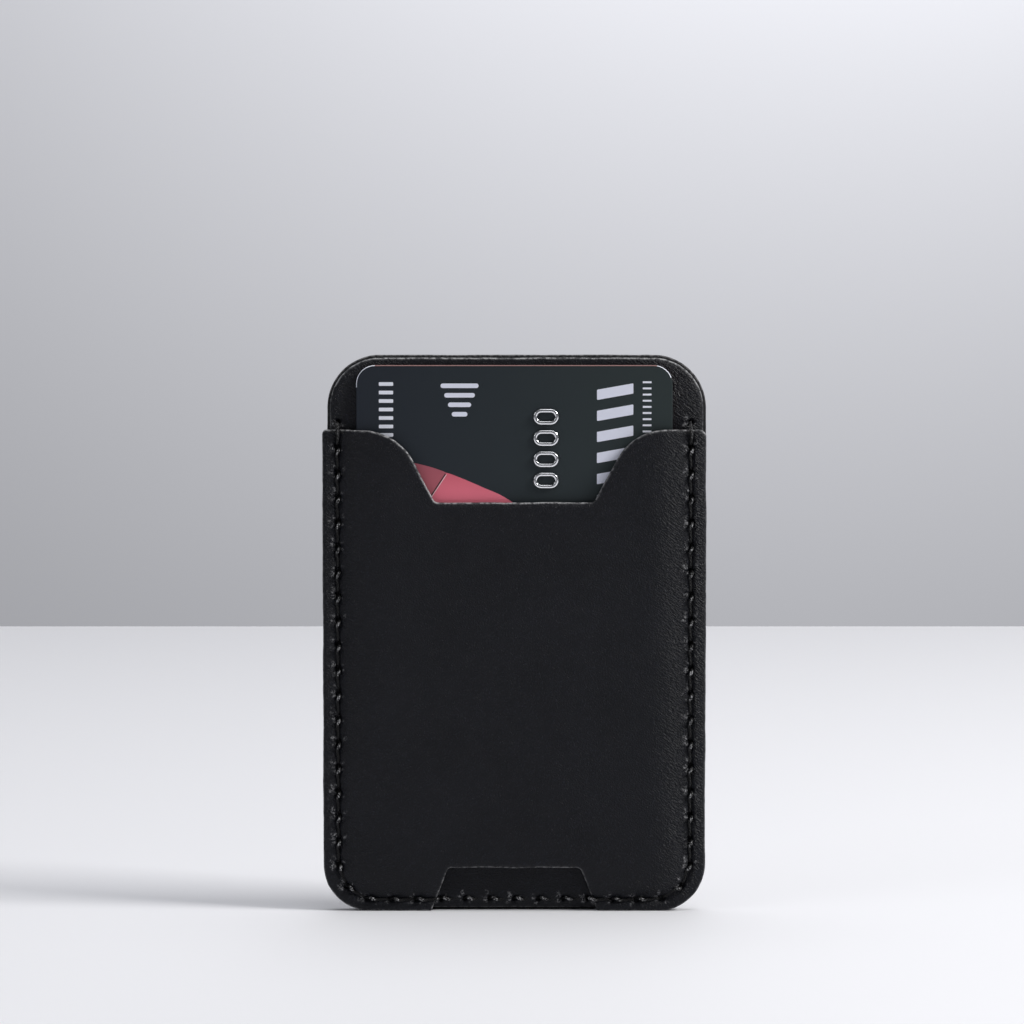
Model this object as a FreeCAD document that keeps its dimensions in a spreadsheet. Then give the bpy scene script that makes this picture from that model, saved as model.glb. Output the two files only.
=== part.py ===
import FreeCAD, Part
import math
import os
import Sketcher

# A leather card wallet that sticks on the back of a phone, with one bank card in it.
#
# Frame: +X is the right-hand side seen from the front, +Y points into the phone and +Z is up.
# The origin is the middle of the adhesive pad's outer face, so that face lies on y = 0 and
# everything else stands in front of it. "Depth" below means the distance in front of that
# face, which is minus y. Lengths are millimetres.

DIMENSIONS = (
    # leather panels
    ("wallet_width", 65.5),
    ("wallet_height", 95.5),
    ("top_corner_radius", 9.0),
    ("bottom_corner_radius", 8.0),
    ("inner_inset", 0.45),
    ("backing_thickness", 0.7),
    ("inner_thickness", 1.0),
    ("front_thickness", 1.1),
    # foam tape on the back
    ("tape_thickness", 0.8),
    ("tape_inset", 4.3),
    ("tape_corner_radius", 4.0),
    # the front panel's open top and the room behind it
    ("front_top", 35.05),
    ("pocket_room", 1.4),
    ("pocket_half_width", 28.4),
    ("pocket_foot", 43.5),
    ("pocket_corner_radius", 4.4),
    ("bulge_overlap", 0.8),
    ("bulge_draft", 1.1),
    # thumb notch
    ("notch_floor", 22.7),
    ("notch_floor_fillet", 1.0),
    ("notch_side_angle", 62.1),
    ("notch_mouth_radius", 9.74),
    ("notch_mouth_reach", 26.0),
    # push-out window in the foot of the front panel
    ("window_top", 40.1),
    ("window_top_half_width", 11.35),
    ("window_foot_half_width", 14.25),
    ("window_fillet", 1.0),
    # seam
    ("seam_side_inset", 2.55),
    ("seam_foot_inset", 1.98),
    ("seam_corner_radius", 6.3),
    ("seam_top", 36.4),
    ("seam_spans", 52),
    ("slit_length", 1.36),
    ("slit_width", 0.56),
    ("thread_radius", 0.25),
    ("thread_spread", 0.385),
    ("thread_bend_radius", 0.32),
    ("thread_gap", 0.02),
    # bank card, ID-1 size, standing on its short side in the pocket
    ("card_width", 53.98),
    ("card_height", 85.6),
    ("card_thickness", 0.76),
    ("card_corner_radius", 3.18),
    ("card_show", 11.05),
    ("card_play", 0.05),
    ("overlay_thickness", 0.08),
    # what is on the card
    ("contact_width", 11.8),
    ("contact_height", 13.0),
    ("contact_corner_radius", 1.2),
    ("contact_thickness", 0.2),
    ("contact_from_left", 23.89),
    ("contact_from_foot", 15.06),
    ("die_size", 7.6),
    ("die_thickness", 0.3),
    ("stripe_width", 12.7),
    ("stripe_from_left", 5.5),
    ("inlay_thickness", 0.03),
    ("signature_width", 9.5),
    ("signature_height", 60.0),
    ("signature_from_left", 21.0),
    ("signature_rise", 4.0),
    ("coil_inset", 3.5),
    ("coil_turns", 4),
    ("coil_pitch", 0.6),
    ("coil_wire", 0.15),
    ("numeral_from_left", 32.4),
    ("numeral_first", 11.46),
    ("numeral_pitch", 3.63),
    ("numeral_tall", 4.3),
    ("numeral_wide", 2.7),
    ("numeral_stroke", 0.62),
    ("numeral_height", 0.41),
    ("foil_thickness", 0.04),
)

doc = FreeCAD.newDocument("phone_card_wallet")
sheet = doc.addObject("Spreadsheet::Sheet", "Dimensions")
for row, (alias, amount) in enumerate(DIMENSIONS, start=1):
    sheet.set(f"A{row}", alias)
    sheet.set(f"B{row}", str(amount))
    sheet.setAlias(f"B{row}", alias)
doc.recompute()

# Expressions that several pieces share, each in terms of the sheet's cells.
HALF_WIDTH = "Dimensions.wallet_width / 2"
HALF_HEIGHT = "Dimensions.wallet_height / 2"
BACKING_REAR = "Dimensions.tape_thickness"
INNER_REAR = f"{BACKING_REAR} + Dimensions.backing_thickness"
POCKET_REAR = f"{INNER_REAR} + Dimensions.inner_thickness"
FLANGE_FRONT = f"{POCKET_REAR} + Dimensions.front_thickness"
POCKET_CEILING = f"{POCKET_REAR} + Dimensions.pocket_room"
BULGE_FRONT = f"{POCKET_CEILING} + Dimensions.front_thickness"
CARD_REAR = f"{POCKET_REAR} + Dimensions.card_play"
CORE_REAR = f"{CARD_REAR} + Dimensions.overlay_thickness"
CARD_FRONT = f"{CARD_REAR} + Dimensions.card_thickness"
CORE_FRONT = f"{CARD_FRONT} - Dimensions.overlay_thickness"
CARD_HALF_WIDTH = "Dimensions.card_width / 2"
CARD_HALF_HEIGHT = "Dimensions.card_height / 2"
CARD_MIDDLE = f"Dimensions.front_top + Dimensions.card_show - {CARD_HALF_HEIGHT}"
CONTACT_X = f"Dimensions.contact_from_left - {CARD_HALF_WIDTH}"
CONTACT_Z = f"Dimensions.contact_from_foot - {CARD_HALF_HEIGHT}"

CUT_OVERSHOOT = 1.0


def value(expression):
    """The number that an expression has with the sheet's present cells."""
    return float(sheet.evalExpression(expression))


def size(alias):
    """One cell of the sheet."""
    return float(sheet.get(alias))


# ---------------------------------------------------------------- sketch helpers


def new_body(label, middle=None):
    """A body whose own origin sits at the height and side offset of its middle."""
    body = doc.addObject("PartDesign::Body", label)
    body.Label = label
    if middle:
        body.setExpression(".Placement.Base.x", middle[0])
        body.setExpression(".Placement.Base.z", middle[1])
    return body


def new_sketch(body, name, depth):
    """An empty sketch facing the front, at an expression's depth in front of the phone."""
    sketch = body.newObject("Sketcher::SketchObject", name)
    upright = next(f for f in body.Origin.OriginFeatures if f.Role == "XZ_Plane")
    sketch.AttachmentSupport = [(upright, "")]
    sketch.MapMode = "FlatFace"
    sketch.setExpression(".AttachmentOffset.Base.z", depth)
    return sketch


def line(start, end):
    return Part.LineSegment(FreeCAD.Vector(*start, 0), FreeCAD.Vector(*end, 0))


def arc(middle, radius, start_angle, end_angle):
    """A counter-clockwise arc, with its angles in degrees."""
    circle = Part.Circle(FreeCAD.Vector(*middle, 0), FreeCAD.Vector(0, 0, 1), radius)
    return Part.ArcOfCircle(circle, math.radians(start_angle), math.radians(end_angle))


def travel(curve, at_end):
    """The direction in which a curve runs at one of its ends."""
    parameter = curve.LastParameter if at_end else curve.FirstParameter
    return FreeCAD.Vector(*curve.tangent(parameter)[0])


def closed_outline(sketch, curves):
    """Add curves that follow one another, joined end to end and back to the first.

    A curve given as (curve, "backwards") is walked from its end to its start. Neighbours
    that run the same way where they meet are held tangent, and the rest only joined.
    """
    walked = []
    for entry in curves:
        backwards = isinstance(entry, tuple)
        curve = entry[0] if backwards else entry
        walked.append((sketch.addGeometry(curve, False), curve, backwards))
    for here, there in zip(walked, walked[1:] + walked[:1]):
        leaving = travel(here[1], not here[2])
        entering = travel(there[1], there[2])
        smooth = leaving.cross(entering).Length < 0.001
        kind = "Tangent" if smooth else "Coincident"
        here_end = 1 if here[2] else 2
        there_end = 2 if there[2] else 1
        sketch.addConstraint(Sketcher.Constraint(kind, here[0], here_end, there[0], there_end))
    return [index for index, curve, backwards in walked]


def named(sketch, name, constraint, expression):
    """Add a constraint under a name and bind it to an expression."""
    index = sketch.addConstraint(constraint)
    sketch.renameConstraint(index, name)
    sketch.setExpression(f"Constraints.{name}", expression)


def pin(sketch, name, kind, curve, point, expression):
    """Fix a point's distance from the sketch's origin along one axis, on either side of it."""
    amount = value(expression)
    if amount < 0:
        constraint = Sketcher.Constraint(kind, curve, point, -1, 1, -amount)
        named(sketch, name, constraint, f"-({expression})")
    else:
        constraint = Sketcher.Constraint(kind, -1, 1, curve, point, amount)
        named(sketch, name, constraint, expression)


def rounded_outline(sketch, left, right, foot, top, foot_radius=None, top_radius=None):
    """A constrained rectangle with its foot corners and its top corners rounded or square."""
    x0, x1, z0, z1 = (value(side) for side in (left, right, foot, top))
    r0 = value(foot_radius) if foot_radius else 0.0
    r1 = value(top_radius) if top_radius else 0.0
    curves = [line((x0 + r0, z0), (x1 - r0, z0))]
    if foot_radius:
        curves.append(arc((x1 - r0, z0 + r0), r0, 270, 360))
    curves.append(line((x1, z0 + r0), (x1, z1 - r1)))
    if top_radius:
        curves.append(arc((x1 - r1, z1 - r1), r1, 0, 90))
    curves.append(line((x1 - r1, z1), (x0 + r1, z1)))
    if top_radius:
        curves.append(arc((x0 + r1, z1 - r1), r1, 90, 180))
    curves.append(line((x0, z1 - r1), (x0, z0 + r0)))
    if foot_radius:
        curves.append(arc((x0 + r0, z0 + r0), r0, 180, 270))
    indices = closed_outline(sketch, curves)
    lines = [i for i, curve in zip(indices, curves) if isinstance(curve, Part.LineSegment)]
    arcs = [i for i, curve in zip(indices, curves) if isinstance(curve, Part.ArcOfCircle)]
    foot_line, right_line, top_line, left_line = lines
    for level in (foot_line, top_line):
        sketch.addConstraint(Sketcher.Constraint("Horizontal", level))
    for upright in (right_line, left_line):
        sketch.addConstraint(Sketcher.Constraint("Vertical", upright))
    pin(sketch, "left", "DistanceX", left_line, 1, left)
    pin(sketch, "right", "DistanceX", right_line, 1, right)
    pin(sketch, "foot", "DistanceY", foot_line, 1, foot)
    pin(sketch, "top", "DistanceY", top_line, 1, top)
    if top_radius:
        high_arcs = arcs[1:3] if foot_radius else arcs
        sketch.addConstraint(Sketcher.Constraint("Equal", high_arcs[0], high_arcs[1]))
        named(sketch, "top_radius", Sketcher.Constraint("Radius", high_arcs[0], r1), top_radius)
    if foot_radius:
        sketch.addConstraint(Sketcher.Constraint("Equal", arcs[0], arcs[-1]))
        named(sketch, "foot_radius", Sketcher.Constraint("Radius", arcs[0], r0), foot_radius)


def pad(body, sketch, name, length):
    """Raise a sketch towards the front by an expression's length."""
    feature = body.newObject("PartDesign::Pad", name)
    feature.Profile = sketch
    feature.setExpression("Length", length)


def pocket_through(body, sketch, name):
    """Cut a sketch through the whole body, both ways from the sketch."""
    before = solid_volume(body)
    feature = body.newObject("PartDesign::Pocket", name)
    feature.Profile = sketch
    feature.SideType = "Symmetric"
    feature.Type = "ThroughAll"
    require_smaller(body, before, name)


def pocket_deep(body, sketch, name, length):
    """Cut a sketch into the body from the sketch towards the front."""
    before = solid_volume(body)
    feature = body.newObject("PartDesign::Pocket", name)
    feature.Profile = sketch
    feature.Reversed = True
    feature.setExpression("Length", length)
    require_smaller(body, before, name)


def solid_volume(body):
    doc.recompute()
    return body.Shape.Volume


def require_smaller(body, before, name):
    if solid_volume(body) >= before - 1e-6:
        raise RuntimeError(f"{body.Label}: {name} cuts nothing")


# ---------------------------------------------------------------- the seam's line


def seam_point(distance):
    """The seam's x, z and direction in degrees, at a distance from its left-hand top end."""
    side = value(f"{HALF_WIDTH} - Dimensions.seam_side_inset")
    foot = value(f"{HALF_HEIGHT} - Dimensions.seam_foot_inset")
    radius = size("seam_corner_radius")
    upright = size("seam_top") + foot - radius
    bend = radius * math.pi / 2
    level = 2 * (side - radius)
    if distance > upright + bend + level / 2:
        x, z, heading = seam_point(2 * (upright + bend) + level - distance)
        return -x, z, -heading
    if distance <= upright:
        return -side, size("seam_top") - distance, -90
    if distance <= upright + bend:
        turned = (distance - upright) / radius
        x = -side + radius * (1 - math.cos(turned))
        z = -foot + radius * (1 - math.sin(turned))
        return x, z, math.degrees(turned) - 90
    return -side + radius + distance - upright - bend, -foot, 0


def seam_holes():
    """The middle of every stitch hole and the seam's heading there, evenly spaced along it."""
    side = value(f"{HALF_WIDTH} - Dimensions.seam_side_inset")
    foot = value(f"{HALF_HEIGHT} - Dimensions.seam_foot_inset")
    radius = size("seam_corner_radius")
    whole = 2 * (size("seam_top") + foot - radius) + math.pi * radius + 2 * (side - radius)
    spans = round(size("seam_spans"))
    return [seam_point(whole * k / spans) for k in range(spans + 1)]


# A hole this much inside the window's widest part still passes the leather beside it.
WINDOW_SIDE_MARGIN = 1.0


def in_front_panel(hole):
    """Whether a stitch hole passes the front panel, and not its open top or its window."""
    x, z, heading = hole
    below_top = z < size("front_top")
    window_reach = size("window_foot_half_width") - WINDOW_SIDE_MARGIN
    in_window = z < -size("window_top") and abs(x) < window_reach
    return below_top and not in_window


SLIT_SLANT = 45


def slit_direction(heading):
    """The way a slit lies where the seam has this heading, at a pricking iron's slant."""
    angle = math.radians(heading + SLIT_SLANT)
    return FreeCAD.Vector(math.cos(angle), math.sin(angle), 0)


def cut_slits(body, holes):
    """Cut one slanted rectangular slit for each stitch hole.

    The slits follow a bent line, which no pattern feature does, so their sketch is drawn
    from the sheet's values, slit by slit.
    """
    sketch = new_sketch(body, f"{body.Name}_slits", BACKING_REAR)
    sides = []
    for x, z, heading in holes:
        lean = slit_direction(heading)
        along = lean * (size("slit_length") / 2)
        across = FreeCAD.Vector(-lean.y, lean.x, 0) * (size("slit_width") / 2)
        middle = FreeCAD.Vector(x, z, 0)
        corners = [middle - along - across, middle + along - across]
        corners += [middle + along + across, middle - along + across]
        sides += [Part.LineSegment(corners[k], corners[(k + 1) % 4]) for k in range(4)]
    sketch.addGeometry(sides, False)
    pocket_through(body, sketch, f"{body.Name}_slit_pocket")


# ---------------------------------------------------------------- wallet pieces


def make_adhesive_pad():
    """Foam tape that holds the wallet on the phone, inside the line of the stitches."""
    body = new_body("adhesive_pad")
    sketch = new_sketch(body, "tape_outline", "0")
    side = f"({HALF_WIDTH} - Dimensions.tape_inset)"
    rise = f"({HALF_HEIGHT} - Dimensions.tape_inset)"
    radius = "Dimensions.tape_corner_radius"
    rounded_outline(sketch, f"-{side}", side, f"-{rise}", rise, radius, radius)
    pad(body, sketch, "tape", "Dimensions.tape_thickness")
    return body


def make_leather_sheet(label, rear, thickness, inset):
    """One of the two whole leather layers behind the card, with the stitch holes."""
    body = new_body(label)
    sketch = new_sketch(body, f"{label}_outline", rear)
    side = f"({HALF_WIDTH} - {inset})"
    rise = f"({HALF_HEIGHT} - {inset})"
    foot_radius = f"Dimensions.bottom_corner_radius - {inset}"
    top_radius = f"Dimensions.top_corner_radius - {inset}"
    rounded_outline(sketch, f"-{side}", side, f"-{rise}", rise, foot_radius, top_radius)
    pad(body, sketch, f"{label}_sheet", thickness)
    cut_slits(body, seam_holes())
    return body


def bulge_outline(body, name, depth, shrink):
    """The pocket's outline, open at the top, at one depth."""
    sketch = new_sketch(body, name, depth)
    side = f"(Dimensions.pocket_half_width - {shrink})"
    foot = f"(Dimensions.pocket_foot - {shrink})"
    radius = f"Dimensions.pocket_corner_radius - ({shrink})"
    rounded_outline(sketch, f"-{side}", side, f"-{foot}", "Dimensions.front_top", radius)
    return sketch


def notch_outline(sketch):
    """The thumb notch: a level floor, sloping sides and wide rounded shoulders."""
    floor = size("notch_floor")
    fillet = size("notch_floor_fillet")
    slope = size("notch_side_angle")
    radius = size("notch_mouth_radius")
    reach = size("notch_mouth_reach")
    top = size("front_top")
    shoulder_z = top - radius
    sine = math.sin(math.radians(slope))
    cosine = math.cos(math.radians(slope))
    side_top = (reach - radius * sine, shoulder_z + radius * cosine)
    # The floor fillet touches the floor and the sloping side, which sets where its middle is.
    fillet_z = floor + fillet
    edge_x = side_top[0] + (fillet_z - side_top[1]) * cosine / sine
    fillet_x = edge_x - fillet / sine
    side_foot = (fillet_x + fillet * sine, fillet_z - fillet * cosine)
    curves = [
        line((-fillet_x, floor), (fillet_x, floor)),
        arc((fillet_x, fillet_z), fillet, 270, 270 + slope),
        line(side_foot, side_top),
        (arc((reach, shoulder_z), radius, 90, 90 + slope), "backwards"),
        line((reach, top), (reach, top + CUT_OVERSHOOT)),
        line((reach, top + CUT_OVERSHOOT), (-reach, top + CUT_OVERSHOOT)),
        line((-reach, top + CUT_OVERSHOOT), (-reach, top)),
        (arc((-reach, shoulder_z), radius, 90 - slope, 90), "backwards"),
        line((-side_top[0], side_top[1]), (-side_foot[0], side_foot[1])),
        arc((-fillet_x, fillet_z), fillet, 270 - slope, 270),
    ]
    indices = closed_outline(sketch, curves)
    floor_line, right_fillet, right_side, right_mouth, right_post = indices[:5]
    lid, left_post, left_mouth, left_side, left_fillet = indices[5:]
    for level in (floor_line, lid):
        sketch.addConstraint(Sketcher.Constraint("Horizontal", level))
    for post in (right_post, left_post):
        sketch.addConstraint(Sketcher.Constraint("Vertical", post))
    pin(sketch, "floor", "DistanceY", floor_line, 1, "Dimensions.notch_floor")
    pin(sketch, "lid", "DistanceY", lid, 1, f"Dimensions.front_top + {CUT_OVERSHOOT}")
    for name, mouth, tip, reach_now in (
        ("right", right_mouth, 1, "Dimensions.notch_mouth_reach"),
        ("left", left_mouth, 2, "-Dimensions.notch_mouth_reach"),
    ):
        pin(sketch, f"{name}_reach", "DistanceX", mouth, 3, reach_now)
        pin(sketch, f"{name}_tip", "DistanceX", mouth, tip, reach_now)
        pin(sketch, f"{name}_top", "DistanceY", mouth, tip, "Dimensions.front_top")
        bend = Sketcher.Constraint("Radius", mouth, radius)
        named(sketch, f"{name}_mouth_radius", bend, "Dimensions.notch_mouth_radius")
    for name, side in (("right", right_side), ("left", left_side)):
        turn = math.radians(slope if name == "right" else -slope)
        angle = "Dimensions.notch_side_angle" if name == "right" else "-Dimensions.notch_side_angle"
        named(sketch, f"{name}_slope", Sketcher.Constraint("Angle", side, turn), angle)
    for name, corner in (("right", right_fillet), ("left", left_fillet)):
        bend = Sketcher.Constraint("Radius", corner, fillet)
        named(sketch, f"{name}_fillet", bend, "Dimensions.notch_floor_fillet")


def window_outline(sketch):
    """The push-out window: a flared cut through the panel's bottom edge."""
    top = -size("window_top")
    foot = -value(f"{HALF_HEIGHT} + {CUT_OVERSHOOT}")
    narrow = size("window_top_half_width")
    fillet = size("window_fillet")
    flare = "(Dimensions.window_foot_half_width - Dimensions.window_top_half_width)"
    flare += f" / ({HALF_HEIGHT} - Dimensions.window_top)"
    lean = value(flare)
    wide_expression = f"Dimensions.window_foot_half_width + {CUT_OVERSHOOT} * {flare}"
    wide = value(wide_expression)
    # Each top corner's fillet touches the top line and the leaning side.
    side_angle = math.degrees(math.atan2(1, lean))
    cosine = math.cos(math.radians(side_angle))
    sine = math.sin(math.radians(side_angle))
    fillet_x = narrow + fillet * lean - fillet / sine
    side_top = (fillet_x + fillet * sine, top - fillet + fillet * cosine)
    curves = [
        line((-wide, foot), (wide, foot)),
        line((wide, foot), side_top),
        arc((fillet_x, top - fillet), fillet, 90 - side_angle, 90),
        line((fillet_x, top), (-fillet_x, top)),
        arc((-fillet_x, top - fillet), fillet, 90, 90 + side_angle),
        line((-side_top[0], side_top[1]), (-wide, foot)),
    ]
    foot_line, right_side, right_fillet, top_line, left_fillet, left_side = closed_outline(
        sketch, curves
    )
    for level in (foot_line, top_line):
        sketch.addConstraint(Sketcher.Constraint("Horizontal", level))
    pin(sketch, "foot", "DistanceY", foot_line, 1, f"-({HALF_HEIGHT} + {CUT_OVERSHOOT})")
    pin(sketch, "top", "DistanceY", top_line, 1, "-Dimensions.window_top")
    pin(sketch, "right_foot", "DistanceX", foot_line, 2, wide_expression)
    pin(sketch, "left_foot", "DistanceX", foot_line, 1, f"-({wide_expression})")
    for name, corner in (("right", right_fillet), ("left", left_fillet)):
        bend = Sketcher.Constraint("Radius", corner, fillet)
        named(sketch, f"{name}_fillet", bend, "Dimensions.window_fillet")
    lean_angle = f"atan(({HALF_HEIGHT} - Dimensions.window_top)"
    lean_angle += " / (Dimensions.window_foot_half_width - Dimensions.window_top_half_width))"
    rise = Sketcher.Constraint("Angle", right_side, math.radians(180 - side_angle))
    named(sketch, "right_lean", rise, f"180 deg - {lean_angle}")
    fall = Sketcher.Constraint("Angle", left_side, math.radians(side_angle - 180))
    named(sketch, "left_lean", fall, f"{lean_angle} - 180 deg")


def make_front_panel():
    """The pocket's front: a flat stitched flange round a moulded bulge that holds the card."""
    body = new_body("front_panel")
    flange = new_sketch(body, "front_outline", POCKET_REAR)
    side = f"({HALF_WIDTH})"
    foot = f"({HALF_HEIGHT})"
    radius = "Dimensions.bottom_corner_radius"
    rounded_outline(flange, f"-{side}", side, f"-{foot}", "Dimensions.front_top", radius)
    pad(body, flange, "flange", "Dimensions.front_thickness")

    grown = "-Dimensions.bulge_overlap"
    drafted = "(Dimensions.bulge_draft - Dimensions.bulge_overlap)"
    bulge = body.newObject("PartDesign::AdditiveLoft", "bulge")
    bulge.Profile = bulge_outline(body, "bulge_foot_outline", FLANGE_FRONT, f"({grown})")
    bulge.Sections = [bulge_outline(body, "bulge_front_outline", BULGE_FRONT, drafted)]
    before = solid_volume(body)
    room = body.newObject("PartDesign::SubtractiveLoft", "card_room")
    room.Profile = bulge_outline(body, "room_rear_outline", POCKET_REAR, "0")
    room.Sections = [
        bulge_outline(body, "room_ceiling_outline", POCKET_CEILING, "Dimensions.bulge_draft")
    ]
    require_smaller(body, before, "card_room")

    notch = new_sketch(body, "notch_outline", POCKET_REAR)
    notch_outline(notch)
    pocket_through(body, notch, "thumb_notch")
    window = new_sketch(body, "window_outline", POCKET_REAR)
    window_outline(window)
    pocket_through(body, window, "push_out_window")
    cut_slits(body, [hole for hole in seam_holes() if in_front_panel(hole)])
    return body


def bent_wire(points, radius):
    """Straight runs through the points, with every corner turned on an arc of one radius."""
    edges = []
    start = points[0]
    for before, corner, after in zip(points, points[1:], points[2:]):
        back = (before - corner).normalize()
        ahead = (after - corner).normalize()
        half = back.getAngle(ahead) / 2
        setback = radius / math.tan(half)
        arc_start = corner + back * setback
        arc_end = corner + ahead * setback
        inward = (back + ahead).normalize()
        middle = corner + inward * (radius / math.sin(half) - radius)
        edges.append(Part.LineSegment(start, arc_start).toShape())
        edges.append(Part.Arc(arc_start, middle, arc_end).toShape())
        start = arc_end
    edges.append(Part.LineSegment(start, points[-1]).toShape())
    return Part.Wire(edges)


def strand_points(holes, side, front_first):
    """The route of one strand of the saddle stitch, through every hole in turn.

    The strand runs along the front of one span and the back of the next, at its own end of
    each slit. At the seam's two ends it steps over the front panel's top edge.
    """
    reach = size("thread_radius") + size("thread_gap")
    behind = value(BACKING_REAR) - reach
    on_inner = value(POCKET_REAR) + reach
    on_front = value(FLANGE_FRONT) + reach
    step_z = size("front_top") + size("thread_bend_radius")
    places = []
    for x, z, heading in holes:
        shift = slit_direction(heading) * (side * size("thread_spread"))
        places.append((x + shift.x, z + shift.y))

    def point(place, depth):
        return FreeCAD.Vector(place[0], -depth, place[1])

    def front_depth(here, there):
        over_panel = in_front_panel(holes[here]) or in_front_panel(holes[there])
        return on_front if over_panel else on_inner

    points = []
    spans = len(holes) - 1
    in_front = front_first
    points.append(point(places[0], behind if in_front else on_inner))
    for span in range(spans):
        here, there = places[span], places[span + 1]
        if not in_front:
            points += [point(here, behind), point(there, behind)]
        elif span == 0:
            edge = (here[0], step_z)
            points += [point(here, on_inner), point(edge, on_inner)]
            points += [point(edge, on_front), point(there, on_front)]
        elif span == spans - 1:
            edge = (there[0], step_z)
            points += [point(here, on_front), point(edge, on_front)]
            points += [point(edge, on_inner), point(there, on_inner)]
        else:
            depth = front_depth(span, span + 1)
            points += [point(here, depth), point(there, depth)]
        in_front = not in_front
    points.append(point(places[-1], on_inner if in_front else behind))
    return points


def make_strand(label, side, front_first):
    """One of the two strands of thread, a tube along its route."""
    radius = size("thread_radius")
    route = bent_wire(strand_points(seam_holes(), side, front_first), size("thread_bend_radius"))
    start = route.Vertexes[0].Point
    section = Part.Wire(Part.makeCircle(radius, start, FreeCAD.Vector(0, 1, 0)))
    tube = route.makePipeShell([section], True, False)
    expected = math.pi * radius**2 * route.Length
    print(f"{label}: {route.Length:.1f} mm of thread, volume {tube.Volume:.2f} of {expected:.2f}")
    if abs(tube.Volume / expected - 1) > 0.01:
        raise RuntimeError(f"{label}: the tube doesn't follow its route")
    strand = doc.addObject("Part::Feature", label)
    strand.Label = label
    strand.Shape = tube
    return strand


# ---------------------------------------------------------------- card pieces
#
# The card stands on one of its short sides with its printed face to the front, and its
# long top edge is at the left. Each card piece is drawn about the card's own middle.


def card_body(label):
    return new_body(label, ("0", CARD_MIDDLE))


def card_outline(sketch):
    left = f"-({CARD_HALF_WIDTH})"
    foot = f"-({CARD_HALF_HEIGHT})"
    radius = "Dimensions.card_corner_radius"
    rounded_outline(sketch, left, CARD_HALF_WIDTH, foot, CARD_HALF_HEIGHT, radius, radius)


def centred_outline(sketch, middle, width, height, radius=None):
    """A rectangle about a point of the card."""
    x, z = middle
    left, right = f"{x} - {width} / 2", f"{x} + {width} / 2"
    foot, top = f"{z} - {height} / 2", f"{z} + {height} / 2"
    rounded_outline(sketch, left, right, foot, top, radius, radius)


def contact_outline(sketch):
    middle = (CONTACT_X, CONTACT_Z)
    extent = ("Dimensions.contact_width", "Dimensions.contact_height")
    centred_outline(sketch, middle, *extent, "Dimensions.contact_corner_radius")


def die_outline(sketch):
    centred_outline(sketch, (CONTACT_X, CONTACT_Z), "Dimensions.die_size", "Dimensions.die_size")


def stripe_outline(sketch):
    """The magnetic stripe runs the card's whole length near its long top edge."""
    left = f"Dimensions.stripe_from_left - {CARD_HALF_WIDTH}"
    right = f"{left} + Dimensions.stripe_width"
    rounded_outline(sketch, left, right, f"-({CARD_HALF_HEIGHT})", CARD_HALF_HEIGHT)


def signature_outline(sketch):
    x = f"Dimensions.signature_from_left + Dimensions.signature_width / 2 - {CARD_HALF_WIDTH}"
    middle = (x, "Dimensions.signature_rise")
    centred_outline(sketch, middle, "Dimensions.signature_width", "Dimensions.signature_height")


def coil_outline(sketch):
    """The antenna: one flat wire wound as a squared spiral inside the card's border.

    Its corners are drawn from the sheet's values, and closed_outline joins them.
    """
    turns = round(size("coil_turns"))
    pitch = size("coil_pitch")
    wire = size("coil_wire")
    half_x = value(f"{CARD_HALF_WIDTH} - Dimensions.coil_inset")
    half_z = value(f"{CARD_HALF_HEIGHT} - Dimensions.coil_inset")

    def spiral(inward):
        points = [(-half_x + inward, -half_z + inward)]
        for turn in range(turns):
            side = half_x - inward - turn * pitch
            rise = half_z - inward - turn * pitch
            points.append((side, -half_z + inward + turn * pitch))
            points.append((side, rise))
            points.append((-side, rise))
            points.append((-side, -rise + pitch))
        return points

    outer = spiral(0.0)
    inner = spiral(wire)
    inner[0] = (outer[0][0], inner[0][1])
    last_x = outer[-1][0]
    inner[-1] = (inner[-1][0], outer[-1][1])
    outer[-1] = (last_x, outer[-1][1])
    corners = outer + inner[::-1]
    closed_outline(sketch, [line(a, b) for a, b in zip(corners, corners[1:] + corners[:1])])


def numeral_centres():
    """Sixteen places in four groups of four, up the card."""
    first = value(f"Dimensions.numeral_first - {CARD_HALF_HEIGHT}")
    x = value(f"Dimensions.numeral_from_left - {CARD_HALF_WIDTH}")
    slots = [group * 5 + place for group in range(4) for place in range(4)]
    return [(x, first + slot * size("numeral_pitch")) for slot in slots]


def numeral_outlines(sketch):
    """A row of plain noughts, each lying on its side as the upright card shows it.

    Like the slits, they are drawn from the sheet's values and not constrained one by one.
    """
    for x, z in numeral_centres():
        for inset in (0.0, size("numeral_stroke")):
            end = size("numeral_wide") / 2 - inset
            straight = size("numeral_tall") / 2 - size("numeral_wide") / 2
            curves = [
                line((x - straight, z - end), (x + straight, z - end)),
                arc((x + straight, z), end, -90, 90),
                line((x + straight, z + end), (x - straight, z + end)),
                arc((x - straight, z), end, 90, 270),
            ]
            for curve in curves:
                sketch.addGeometry(curve, False)


def make_card_core():
    body = card_body("card_core")
    sheet_outline = new_sketch(body, "core_outline", CORE_REAR)
    card_outline(sheet_outline)
    pad(body, sheet_outline, "core_sheet", f"{CORE_FRONT} - ({CORE_REAR})")
    sunk = "Dimensions.contact_thickness - Dimensions.overlay_thickness"
    contact = new_sketch(body, "core_contact_seat", f"{CORE_FRONT} - ({sunk})")
    contact_outline(contact)
    pocket_deep(body, contact, "core_contact_recess", f"{sunk}")
    die = new_sketch(body, "core_die_seat", f"{CORE_FRONT} - ({sunk}) - Dimensions.die_thickness")
    die_outline(die)
    pocket_deep(body, die, "core_die_recess", "Dimensions.die_thickness")
    coil = new_sketch(body, "core_coil_seat", f"{CORE_REAR}")
    coil_outline(coil)
    pocket_deep(body, coil, "core_coil_groove", "Dimensions.coil_wire")
    return body


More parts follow.
